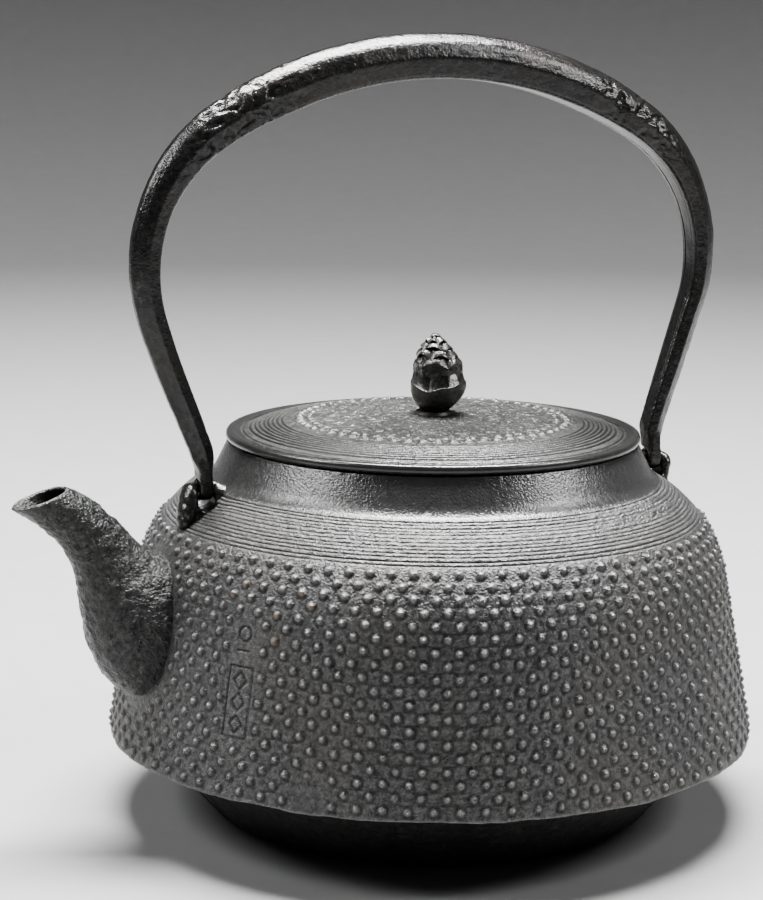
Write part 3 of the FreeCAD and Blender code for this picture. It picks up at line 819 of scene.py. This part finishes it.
def forged_skin(points, crown):
    """Hammer flats, worm-eaten pits in two patches, and a fine rough skin."""
    hammered = 0.15 * noise(points, 9.0, 201) + 0.06 * noise(points, 4.0, 207)
    fine = 0.05 * layered(points, 1.3, 211, 2)
    left_patch = np.exp(-((points[..., 0] + 58) / 15) ** 4) * step(points[..., 2], 150, 175)
    right_patch = np.exp(-((points[..., 0] - 60) / 13) ** 4) * step(points[..., 2], 150, 175)
    low_patch = 0.5 * step(-points[..., 2], -150, -120)
    warped = points + 1.3 * noise(points, 2.2, 223)[..., None]
    veins = 1 - step(np.abs(noise(warped, 3.6, 227)), 0.05, 0.20)
    holes = step(noise(warped, 2.6, 229), 0.30, 0.55)
    eaten = (0.35 * veins + 0.45 * holes) * np.maximum(left_patch, right_patch)
    worn = step(noise(points, 12.0, 233), 0.15, 0.5) * 0.30 * holes * low_patch
    sparse = 0.16 * step(noise(warped, 2.0, 239), 0.62, 0.8) * step(noise(points, 20.0, 241), 0.0,
        0.4)
    return hammered + fine - eaten * (1 - 0.35 * crown) - worn - sparse


def along_bail(stations, section):
    """The bail's outlines, from section(distance, thickness, width) at each station."""
    return np.array([place_section(abs(station), -1 if station < 0 else 1,
        section(abs(station), *handle_size(abs(station)))) for station in stations])


def crown_outline(distance, thickness, width):
    return d_section(thickness, width, CROWN_POINTS, float(step(distance, 40.0, 125.0)))


def cavity_outline(distance, thickness, width):
    half = width / 2
    mouth = MOUTH_SHARE * half - 1.2
    return evenly(rounded_path(mirrored([(-0.5 * thickness, mouth, 0),
        (-0.5 * thickness + 1.3, mouth + 0.3, 0), (-0.02 * thickness, half - SHELL_THICKNESS, 0.8),
        (0.5 * thickness - SHELL_THICKNESS, 0.35 * half, 1.0)]), 0.3), 22)


def strip_outline(distance, thickness, width):
    mouth, floor = MOUTH_SHARE * width / 2 - 1.3, -0.5 * thickness
    return evenly(rounded_path([(floor + 0.12, -mouth, 0), (floor - 0.02, -mouth + 0.35, 0.3),
        (floor - 0.02, mouth - 0.35, 0.3), (floor + 0.12, mouth, 0), (floor + 1.2, mouth, 0),
        (floor + 1.2, -mouth, 0)], 0.2), 24)


def handle_shell():
    stations = np.linspace(-HOLLOW_END, HOLLOW_END, 560)
    outer = along_bail(stations, crown_outline)
    normals = unit(np.cross(np.gradient(outer, axis=1), np.gradient(outer, axis=0)))
    if (normals * off_middle(outer)).sum() < 0:
        normals = -normals
    share = np.linspace(0, 1, CROWN_POINTS)
    crown = np.exp(-((share - 0.5) / 0.16) ** 2)
    edges = step(np.minimum(share, 1 - share), 0.0, 0.04)
    ends = step(HOLLOW_END - np.abs(stations), 0.0, 4.0)[:, None]
    outer = outer + normals * (forged_skin(outer, crown) * edges * ends)[..., None]
    grid = np.concatenate([outer, along_bail(stations, cavity_outline)], axis=1)
    return closed("handle_shell_forged", grid, capped=True)


def handle_inner_plate():
    grid = along_bail(np.linspace(-HOLLOW_END + 0.05, HOLLOW_END - 0.05, 360), strip_outline)
    ripple = 0.10 * noise(grid, 5.0, 251) + 0.05 * noise(grid, 1.8, 257)
    grid = grid + unit(off_middle(grid)) * ripple[..., None]
    return closed("handle_inner_strip", grid, capped=True)


def closed_section(thickness, width, ease, count):
    """The hook's section: the bail's own outline above, a rounded bar at the hook."""
    outline = d_section(thickness, width, count - 10, 1.0)
    bottom = np.stack([np.full(10, -0.5 * thickness),
        np.linspace(0.70, -0.70, 12)[1:-1] * width / 2], -1)
    full = np.vstack([outline, bottom])
    angles = np.arctan2(full[:, 1] / width, full[:, 0] / thickness)
    power = 0.4
    bar = np.stack([np.sign(np.cos(angles)) * np.abs(np.cos(angles)) ** power * thickness / 2,
        np.sign(np.sin(angles)) * np.abs(np.sin(angles)) ** power * width / 2], -1)
    return full * ease + bar * (1 - ease)


def hook(name, side):
    """The solid end: it keeps its width down to the lug, then narrows and hooks under the bar."""
    count = 70
    grid = []
    for height in np.linspace(HOLLOW_END_FROM_PIVOT, 0.0, 56):
        share = min(1.0, height / ANKLE_SET_FORWARD)
        ease = share * share * (3 - 2 * share)
        spread = float(step(height, 4.0, 9.0))
        thickness, width = handle_size(TO_PIVOT - height)
        thickness = HOOK_WIDTH + (thickness + 0.5 * (1 - ease) - HOOK_WIDTH) * spread
        near = -HOOK_MEAN_RADIUS * (1 - ease) - (HOOK_THICKNESS
            + (width - HOOK_THICKNESS) * ease) / 2
        hooked = HOOK_THICKNESS / 2 - HOOK_MEAN_RADIUS
        far = hooked + (width / 2 - hooked) * float(step(height, 1.6, 3.4))
        width, forward = far - near, (far + near) / 2
        section = closed_section(thickness, width, 0.75 * spread + 0.25 * ease, count)
        grid.append(place_section(TO_PIVOT - height, side, section, forward))
    shift = SPOUT_SIDE_SHIFT if side < 0 else 0.0
    for turn in np.linspace(0, HOOK_SWEEP, 34)[1:]:
        taper = 1 - 0.45 * step(turn, HOOK_SWEEP - 0.7, HOOK_SWEEP + 0.15)
        section = closed_section(HOOK_WIDTH * taper, HOOK_THICKNESS * taper, 0.0, count)
        radial = np.array([0.0, -math.cos(turn), -math.sin(turn)])
        centre = np.array([HOOK_REACH, 0, PIVOT_HEIGHT]) + radial * HOOK_MEAN_RADIUS
        points = centre + section[:, :1] * np.array([1.0, 0, 0]) - section[:, 1:] * radial
        points[:, 0] = points[:, 0] * side + shift
        grid.append(points)
    tip = grid[-1]
    middle = tip.mean(axis=0)
    ahead = tip.mean(axis=0) - grid[-2].mean(axis=0)
    ahead = ahead / np.linalg.norm(ahead)
    for share, push in ((0.8, 0.3), (0.45, 0.5)):
        grid.append(middle + (tip - middle) * share + ahead * push)
    grid = np.array(grid)
    above = grid[..., 2] - PIVOT_HEIGHT
    calm = window(above, 4.0, 9.0, HOLLOW_END_FROM_PIVOT - 4, HOLLOW_END_FROM_PIVOT)
    relief = (0.20 * noise(grid, 3.6, 261) + 0.07 * layered(grid, 1.3, 263, 2)) * calm
    relief = relief + 0.03 * layered(grid, 1.2, 269, 2)
    grid = grid + unit(off_middle(grid)) * relief[..., None]
    return closed(name, grid, capped=True)


# ---- Lugs ----
# Rounded masses of one lug: (out from the bar, across, height), (half sizes)
LUG_MASSES = [
    ((3.7, 0.0, 91.0), (1.8, 4.0, 4.7)),
    ((3.9, 0.0, 93.0), (2.2, 4.1, 3.0)),
    ((0.3, 0.0, 86.8), (5.4, 5.2, 5.0)),
    ((-4.3, 0.0, 91.8), (2.5, 4.1, 4.0)),
    ((-6.2, 0.0, 93.0), (3.2, 4.8, 2.4)),
]
# The spout-side lug also has a flank that runs out and down on to the shoulder.
LUG_FLANK = [
    ((4.4, -0.4, 90.2), (2.6, 4.2, 5.0)),
    ((5.4, -1.0, 88.0), (2.4, 4.2, 4.0)),
    ((6.2, -1.8, 86.0), (2.0, 3.4, 2.6)),
]
LUG_SLOT_HALF = 2.12
BAR_RADIUS = 1.4


def modified(thing, kind, **settings):
    """Runs one modifier on a mesh object and keeps the result."""
    modifier = thing.modifiers.new(kind.lower(), kind)
    for key, value in settings.items():
        setattr(modifier, key, value)
    graph = bpy.context.evaluated_depsgraph_get()
    mesh = bpy.data.meshes.new_from_object(thing.evaluated_get(graph))
    thing.modifiers.clear()
    thing.data = mesh


def scratch_object(name, build):
    """A mesh object made by build(bm)."""
    bm = bmesh.new()
    build(bm)
    mesh = bpy.data.meshes.new(name)
    bm.to_mesh(mesh)
    bm.free()
    return in_scene(name, mesh)


def add_rod(bm, radius, length, centre, axis):
    turn = Matrix.Rotation(math.pi / 2, 4, "Y" if axis == "X" else "X")
    bmesh.ops.create_cone(bm, cap_ends=True, segments=48, radius1=radius * MM, radius2=radius * MM,
        depth=length * MM, matrix=Matrix.Translation(Vector(centre) * MM) @ turn)


def lug(name, side):
    """Two knuckles on a spread foot, with an eye through them and the bail's bar between."""
    reach = side * HOOK_REACH + (SPOUT_SIDE_SHIFT if side < 0 else 0.0)

    def masses(bm):
        for (out, across, height), sizes in LUG_MASSES + (LUG_FLANK if side < 0 else []):
            place = Matrix.Translation(Vector((reach + side * out, across, height)) * MM)
            bmesh.ops.create_icosphere(bm, subdivisions=4, radius=MM,
                matrix=place @ Matrix.Diagonal((*sizes, 1)))

    def slot(bm):
        size = Matrix.Diagonal((2 * LUG_SLOT_HALF * MM, 24 * MM, 12 * MM, 1))
        bmesh.ops.create_cube(bm, size=1, matrix=Matrix.Translation(Vector((reach, 0,
            EYE_HEIGHT + 6.0)) * MM) @ size)

    thing = scratch_object(name, masses)
    modified(thing, "REMESH", mode="VOXEL", voxel_size=0.3 * MM)
    for cutter in (scratch_object("slot", slot), scratch_object("eye",
            lambda bm: add_rod(bm, EYE_RADIUS, 24.0, (reach, 0, EYE_HEIGHT), "Y"))):
        modified(thing, "BOOLEAN", operation="DIFFERENCE", object=cutter, solver="EXACT")
        bpy.data.objects.remove(cutter)
    bm = bmesh.new()
    bm.from_mesh(thing.data)
    add_rod(bm, BAR_RADIUS, 2 * LUG_SLOT_HALF + 3.0, (reach, 0, PIVOT_HEIGHT), "X")
    bm.to_mesh(thing.data)
    bm.free()
    modified(thing, "REMESH", mode="VOXEL", voxel_size=0.22 * MM)
    modified(thing, "SMOOTH", factor=0.5, iterations=10)
    mesh = thing.data
    places = read(mesh.vertices, "co") / MM
    facing = read(mesh.vertices, "normal")
    away = np.hypot(places[:, 1], places[:, 2] - PIVOT_HEIGHT)
    outside = step(np.abs(places[:, 0] - reach), LUG_SLOT_HALF, LUG_SLOT_HALF + 0.7) * step(away,
        1.5, 3.0)
    relief = 0.04 * layered(places, 1.3, 501, 2) + 0.14 * noise(places, 3.8, 505)
    places = places + facing * (relief * outside)[:, None]
    set_places(mesh, places)
    mesh.update()
    mesh.shade_smooth()
    in_eye = 1 - step(np.hypot(places[:, 0] - reach, places[:, 2] - EYE_HEIGHT), EYE_RADIUS,
        EYE_RADIUS + 0.3)
    in_slot = (1 - step(np.abs(places[:, 0] - reach), LUG_SLOT_HALF,
        LUG_SLOT_HALF + 0.3)) * (places[:, 2] > EYE_HEIGHT)
    # Painted shade inside the eye and the slot.
    store(thing, "recess_shade", np.maximum(in_eye, 0.8 * in_slot))
    return thing


# ---- Lid ----
LID_BORE = 2.05
LID_SEAT = RIM[1] + 0.3
BEAD_RING = 37.6
BEADS = 58
LID_COLUMNS = 870


def lid():
    top = rounded_path([(LID_BORE, 111.4, 0), (6.0, 111.4, 2.0), (34.0, 110.4, 160.0),
        (51.5, 108.0, 30.0), (54.6, 106.3, 2.0), (56.4, 107.1, 0.7), (57.8, 106.9, 1.0),
        (58.2, 105.8, 0.8), (58.1, 105.0, 0.6), (57.0, LID_SEAT, 0.6), (55.0, LID_SEAT, 0)], 0.12)
    rows = np.unique(np.concatenate([np.linspace(0, 32.0, 60), np.linspace(32.0, 56.0, 150),
        np.linspace(56.0, path_length(top), 46)]))
    profile = walk(top, rows)[::-1]
    angles, points, facing = turned(profile, LID_COLUMNS)
    radius, upper = profile[:, :1], profile[:, 1:] > 106.2
    rings = np.zeros(points.shape[:2])
    for number in range(8):
        ring = 42.6 + 1.25 * number + 0.12 * lattice(number, 1, 1, 301)
        rings = np.maximum(rings, spot(radius, ring + 0.10 * noise(points, 30.0, 307), 0.5))
    for ring in (53.4, 30.5):
        rings = np.maximum(rings, 0.6 * spot(radius, ring, 0.4))
    beads = np.zeros_like(rings)
    for offset, size, height, shift in ((0.0, 1.40, 0.66, 0.0), (-2.9, 1.2, 0.38, 0.5)):
        turns = angles[None, :] / (2 * np.pi) * BEADS - shift
        across = (turns - np.round(turns)) * 2 * np.pi * (BEAD_RING + offset) / BEADS
        reach = np.hypot(across, radius - BEAD_RING - offset) / size
        beads = beads + height * np.clip(1 - reach ** 2, 0, 1)
    inside = 1 - step(radius, 32.0, 35.5)
    bark = 0.36 * np.abs(layered(points, 1.7, 311, 3)) + 0.10 * noise(points, 6.0, 313)
    lumpy = 0.16 * layered(points, 1.2, 317, 2) * window(radius, 31.0, 34.0, 40.0, 43.0)
    pad = step(radius, 5.8, 7.2)
    outer_band = step(radius, 53.8, 54.8)
    skin = (0.05 * layered(points, 1.2, 331, 2) + 0.06 * noise(points, 22.0, 337)) * (1
        - 0.8 * outer_band)
    relief = (-0.42 * rings + beads + (bark - 0.1) * inside * pad + lumpy + skin * pad) * upper
    points = points + facing * relief[..., None]
    under = rounded_path([(LID_BORE, 111.4, 0), (LID_BORE, 108.2, 0), (30.0, 106.6, 60.0),
        (49.9, LID_SEAT, 1.0), (54.8, LID_SEAT, 0)], 0.3)
    under_rows = walk(under, np.linspace(0.4, path_length(under), 46))
    under_points = turned(under_rows, LID_COLUMNS)[1]
    thing = closed("lid_cast", np.concatenate([points, under_points]))
    # The second attribute paints shade in the lid's comb rings.
    for name, values in (("smooth", outer_band + 0 * rings), ("recess_shade", 0.8 * rings * upper)):
        store(thing, name, np.concatenate([values, np.zeros(under_points.shape[:2])]))
    return thing


# ---- Knob ----
KNOB_BOTTOM = 112.5
KNOB_TOP = 134.0
KNOB_FRONT = -math.pi / 2 - CAMERA_AZIMUTH
# The cup's wavy rim: (degrees round from the front, height)
CUP_RIM = [(-178, 118.9), (-150, 120.2), (-120, 118.9), (-90, 120.7), (-55, 119.6), (-22, 118.3),
           (5, 119.4), (35, 119.9), (50, 120.6), (63, 119.3), (90, 120.6), (130, 119.0),
           (158, 120.3)]
# Scales above the cup, from below up: (height of the corners between two scales, height of a
# scale's arched edge, radius at the edge, degrees of the corners round from the front)
KNOB_TIERS = [
    (124.3, 126.0, 6.9, (-155, -95, -43, 24, 78, 140)),
    (126.3, 128.1, 5.9, (-170, -124, -76, -17, 42, 108)),
    (128.7, 130.2, 4.6, (-140, -50, 27, 108)),
    (130.7, 131.9, 3.2, (-170, -95, -38, 12, 75)),
    (132.3, 133.1, 1.9, (-150, -60, 60)),
]
# How far the bud's middle stands off its pin: (height, distance)
KNOB_LEAN = [(112.5, 0.4), (119.0, 1.4), (125.0, 1.2), (130.0, 0.7), (134.0, 0.3)]


def arches(angle, corners):
    """0 at each corner direction and 1 midway between neighbours, with angles from the front."""
    corners = np.radians(sorted(corners))
    corners = np.append(corners, corners[0] + 2 * np.pi)
    wrapped = (angle - KNOB_FRONT - corners[0]) % (2 * np.pi) + corners[0]
    index = np.clip(np.searchsorted(corners, wrapped, side="right") - 1, 0, len(corners) - 2)
    share = (wrapped - corners[index]) / (corners[index + 1] - corners[index])
    return np.sin(np.pi * np.clip(share, 0, 1))


def knob():
    """A bud: a smooth cup of leaves, a hollow, and tiers of scales that hang over each other."""
    columns, rows = 320, 420
    angles = directions(columns)
    heights = np.concatenate([np.linspace(KNOB_BOTTOM, 118.0, 70),
        np.linspace(118.0, KNOB_TOP, rows - 70 + 1)[1:]])
    z = heights[:, None] + 0 * angles[None, :]
    angle = angles[None, :] + 0 * z
    around = np.stack([7 * np.cos(angle), 7 * np.sin(angle), z], -1)
    wander = noise(around, 3.6, 401)

    turns, rim_heights = np.array(CUP_RIM, float).T
    from_front = np.degrees(round_away(angle, KNOB_FRONT))
    rim = np.interp(from_front, turns, rim_heights, period=360) + 0.12 * wander
    share = np.clip((z - KNOB_BOTTOM) / (rim - KNOB_BOTTOM), 0, 1)
    cup = 3.8 + 3.95 * np.sin(share * np.pi / 2) ** 0.85 + 0.35 * np.sin(np.pi * share)
    above = np.clip((z - rim) / (125.9 - rim), 0, 1)
    first = arches(angle, KNOB_TIERS[0][3])
    hollow = (1.1 + 0.9 * first ** 0.7) * (0.5 + 0.5 * np.exp(-((from_front + 8) / 60) ** 4))
    ledge = 7.65 - hollow * np.clip(above / 0.5, 0, 1) ** 0.8 + (hollow - 1.0) * step(above, 0.6,
        1.0)
    lip = step(z, rim - 0.05, rim + 0.12)
    radius = cup * (1 - lip) + ledge * lip

    for number, (corner, arch, edge_radius, corners) in enumerate(KNOB_TIERS):
        lobe = arches(angle, corners) ** 0.7
        spiral = -0.42 * np.sin(np.radians(from_front - 25 * number))
        edge = corner + (arch - corner) * lobe + 0.14 * wander + spiral * (number > 0)
        last = number == len(KNOB_TIERS) - 1
        upper = KNOB_TOP + 1.0 if last else KNOB_TIERS[number + 1][1] + 0.25
        inner = 0.2 if last else KNOB_TIERS[number + 1][2] - 1.5
        share = np.clip((z - edge) / (upper - edge), 0, 1)
        outer = edge_radius + 0.30 * (1 - lobe) - 0.10
        scale = outer + (inner - outer) * share ** 1.15 + 0.34 * np.sin(np.pi * share) * lobe
        lip = step(z, edge - 0.06, edge + 0.09)
        radius = radius * (1 - lip) + scale * lip
    closing = np.sqrt(np.clip((KNOB_TOP - z) / 1.1, 0.0, 1))
    radius = np.where(z > KNOB_TOP - 1.1, np.minimum(radius, 0.25 + 1.35 * closing), radius)
    radius = radius + 0.08 * layered(around, 1.1, 409, 2) * (radius > 1) * step(z, 119.5, 122.0)
    radius[0] = 3.7
    lean = np.interp(heights, *np.array(KNOB_LEAN).T)[:, None]
    grid = np.stack([radius * np.cos(angle) + lean * math.cos(CAMERA_AZIMUTH),
        radius * np.sin(angle) - lean * math.sin(CAMERA_AZIMUTH), z], -1)
    return closed("knob_pinecone_cast", grid, capped=True)


# ---- The set ----
def add_floor():
    """A pale table that sweeps up all round into a darker studio wall."""
    sweep = rounded_path([(10.0, 0, 0), (2600.0, 0, 1100.0), (2600.0, 2600.0, 0)], 40.0)
    _, points, _ = turned(sweep, 96)
    floor = grid_object("floor", points, cap_first=True)
    floor.location.z = -0.0002
    nodes = Nodes("floor_paper")
    fine = nodes.texture(60.0, 4.0)
    pale = nodes.mix(fine, (0.25, 0.25, 0.25), (0.28, 0.28, 0.279))
    height = nodes.add("ShaderNodeSeparateXYZ", {0: nodes.place}).outputs["Z"]
    colour = nodes.mix(nodes.remap(height, 0.0, 0.9), pale, (0.035, 0.035, 0.037))
    floor.data.materials.append(nodes.finish(Base_Color=colour, Roughness=0.6))


def add_softbox(name, place, target, size, power):
    light = bpy.data.lights.new(name, "AREA")
    light.shape = "RECTANGLE"
    light.size, light.size_y = size
    light.energy = power
    box = in_scene(name, light)
    box.location = place
    box.rotation_euler = (Vector(target) - Vector(place)).to_track_quat("-Z", "Y").to_euler()
    box.visible_camera = False


def from_camera(right, towards, up):
    """A place given from the kettle as the camera sees it: right, towards the camera, up."""
    cosine, sine = math.cos(CAMERA_AZIMUTH), math.sin(CAMERA_AZIMUTH)
    return (right * cosine - towards * sine, -right * sine - towards * cosine, up)


def add_lights():
    middle = (0, 0, 0.1)
    add_softbox("overhead", from_camera(0.0, -0.22, 1.15), middle, (0.85, 0.36), 88)
    add_softbox("left", from_camera(-1.05, 0.2, 0.95), middle, (0.5, 0.4), 14)
    add_softbox("right", from_camera(1.05, 0.2, 0.95), middle, (0.3, 0.4), 12)
    world = bpy.data.worlds.new("studio")
    world.use_nodes = True
    background = world.node_tree.nodes["Background"]
    background.inputs["Color"].default_value = (0.82, 0.83, 0.85, 1)
    background.inputs["Strength"].default_value = 0.07
    bpy.context.scene.world = world
    bpy.context.scene.view_settings.look = "AgX - Medium High Contrast"


def add_camera():
    cosine, sine = math.cos(CAMERA_AZIMUTH), math.sin(CAMERA_AZIMUTH)
    turn = Matrix(((cosine, sine, 0), (-sine, cosine, 0), (0, 0, 1)))
    level = math.cos(CAMERA_PITCH)
    forward = Vector((math.sin(CAMERA_YAW) * level, math.cos(CAMERA_YAW) * level,
            -math.sin(CAMERA_PITCH)))
    right = Vector((math.cos(CAMERA_YAW), -math.sin(CAMERA_YAW), 0))
    up = right.cross(forward)
    rolled_right = math.cos(CAMERA_ROLL) * right + math.sin(CAMERA_ROLL) * up
    rolled_up = -math.sin(CAMERA_ROLL) * right + math.cos(CAMERA_ROLL) * up
    axes = [turn @ axis for axis in (rolled_right, rolled_up, -forward)]
    place = turn @ Vector((0, -CAMERA_DISTANCE, CAMERA_HEIGHT)) * MM
    camera = in_scene("camera", bpy.data.cameras.new("camera"))
    camera.matrix_world = Matrix((*((*(axis[row] for axis in axes), place[row]) for row
        in range(3)), (0, 0, 0, 1)))
    camera.data.lens = CAMERA_LENS
    camera.data.sensor_width = 36
    bpy.context.scene.camera = camera


# ---- Putting it together ----
add_camera()
add_floor()
add_lights()

body_iron = iron("body_iron", BLACK, GREY, BROWN, rough=(0.32, 0.46), grain=(1700.0, 0.00045),
    lump=(800.0, 0.00025), reads=("recess_shade", "rust", "worn", "smooth"))
bottom_iron = iron("bottom_iron", (0.022, 0.022, 0.022), (0.055, 0.055, 0.053), BROWN, 0.1,
    rough=(0.5, 0.75), lump=(520.0, 0.0004))
spout_iron = iron("spout_iron", (0.017, 0.018, 0.018), (0.060, 0.062, 0.059), OLIVE,
    rough=(0.25, 0.38), grain=(1700.0, 0.00045), lump=(900.0, 0.00060))
lug_iron = iron("lug_iron", (0.028, 0.028, 0.028), (0.06, 0.06, 0.058), OLIVE, rough=(0.22, 0.30),
    lump=(520.0, 0.00015), reads=("recess_shade",))
handle_iron = iron("handle_iron", (0.021, 0.021, 0.021), (0.042, 0.041, 0.040), WARM, 0.25,
    rough=(0.17, 0.26), grain=(1700.0, 0.00010), lump=(850.0, 0.00010))
lid_iron = iron("lid_iron", (0.026, 0.026, 0.026), (0.085, 0.085, 0.083), OLIVE,
    rough=(0.30, 0.44), grain=(2000.0, 0.00022), reads=("recess_shade", "smooth"))
knob_iron = iron("knob_iron", (0.036, 0.035, 0.034), (0.10, 0.098, 0.095), OLIVE,
    rough=(0.22, 0.34))
hidden_iron = iron("hidden_iron", (0.016, 0.016, 0.016), (0.035, 0.034, 0.033), BROWN,
    rough=(0.4, 0.6))

dress(kettle_body(), body_iron, "kettle", "cast_iron_body", "kettle_body")
dress(kettle_bottom(), bottom_iron, "kettle", "cast_iron_bottom", "kettle_bottom")
dress(spout(), spout_iron, "kettle", "cast_iron_spout", "spout")
dress(lug("lug_rear_cast", 1), lug_iron, "kettle", "cast_iron_lug", "lug_rear")
dress(lug("lug_spout_side_cast", -1), lug_iron, "kettle", "cast_iron_lug", "lug_spout_side")
dress(handle_shell(), handle_iron, "handle", "forged_iron_handle", "handle_shell")
dress(handle_inner_plate(), handle_iron, "handle", "forged_iron_handle", "handle_inner_plate")
dress(hook("hook_rear_forged", 1), handle_iron, "handle", "forged_iron_handle", "handle_hook_rear")
dress(hook("hook_spout_side_forged", -1), handle_iron, "handle", "forged_iron_handle",
    "handle_hook_spout_side")
dress(lid(), lid_iron, "lid", "cast_iron_lid", "lid_disc")
dress(knob(), knob_iron, "knob", "knob_iron", "knob_pinecone")

for node in ("lid_locating_ring", "knob_seat_washer", "knob_shank", "knob_under_washer"):
    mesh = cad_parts[node].data
    mesh.materials.clear()
    mesh.materials.append(hidden_iron)
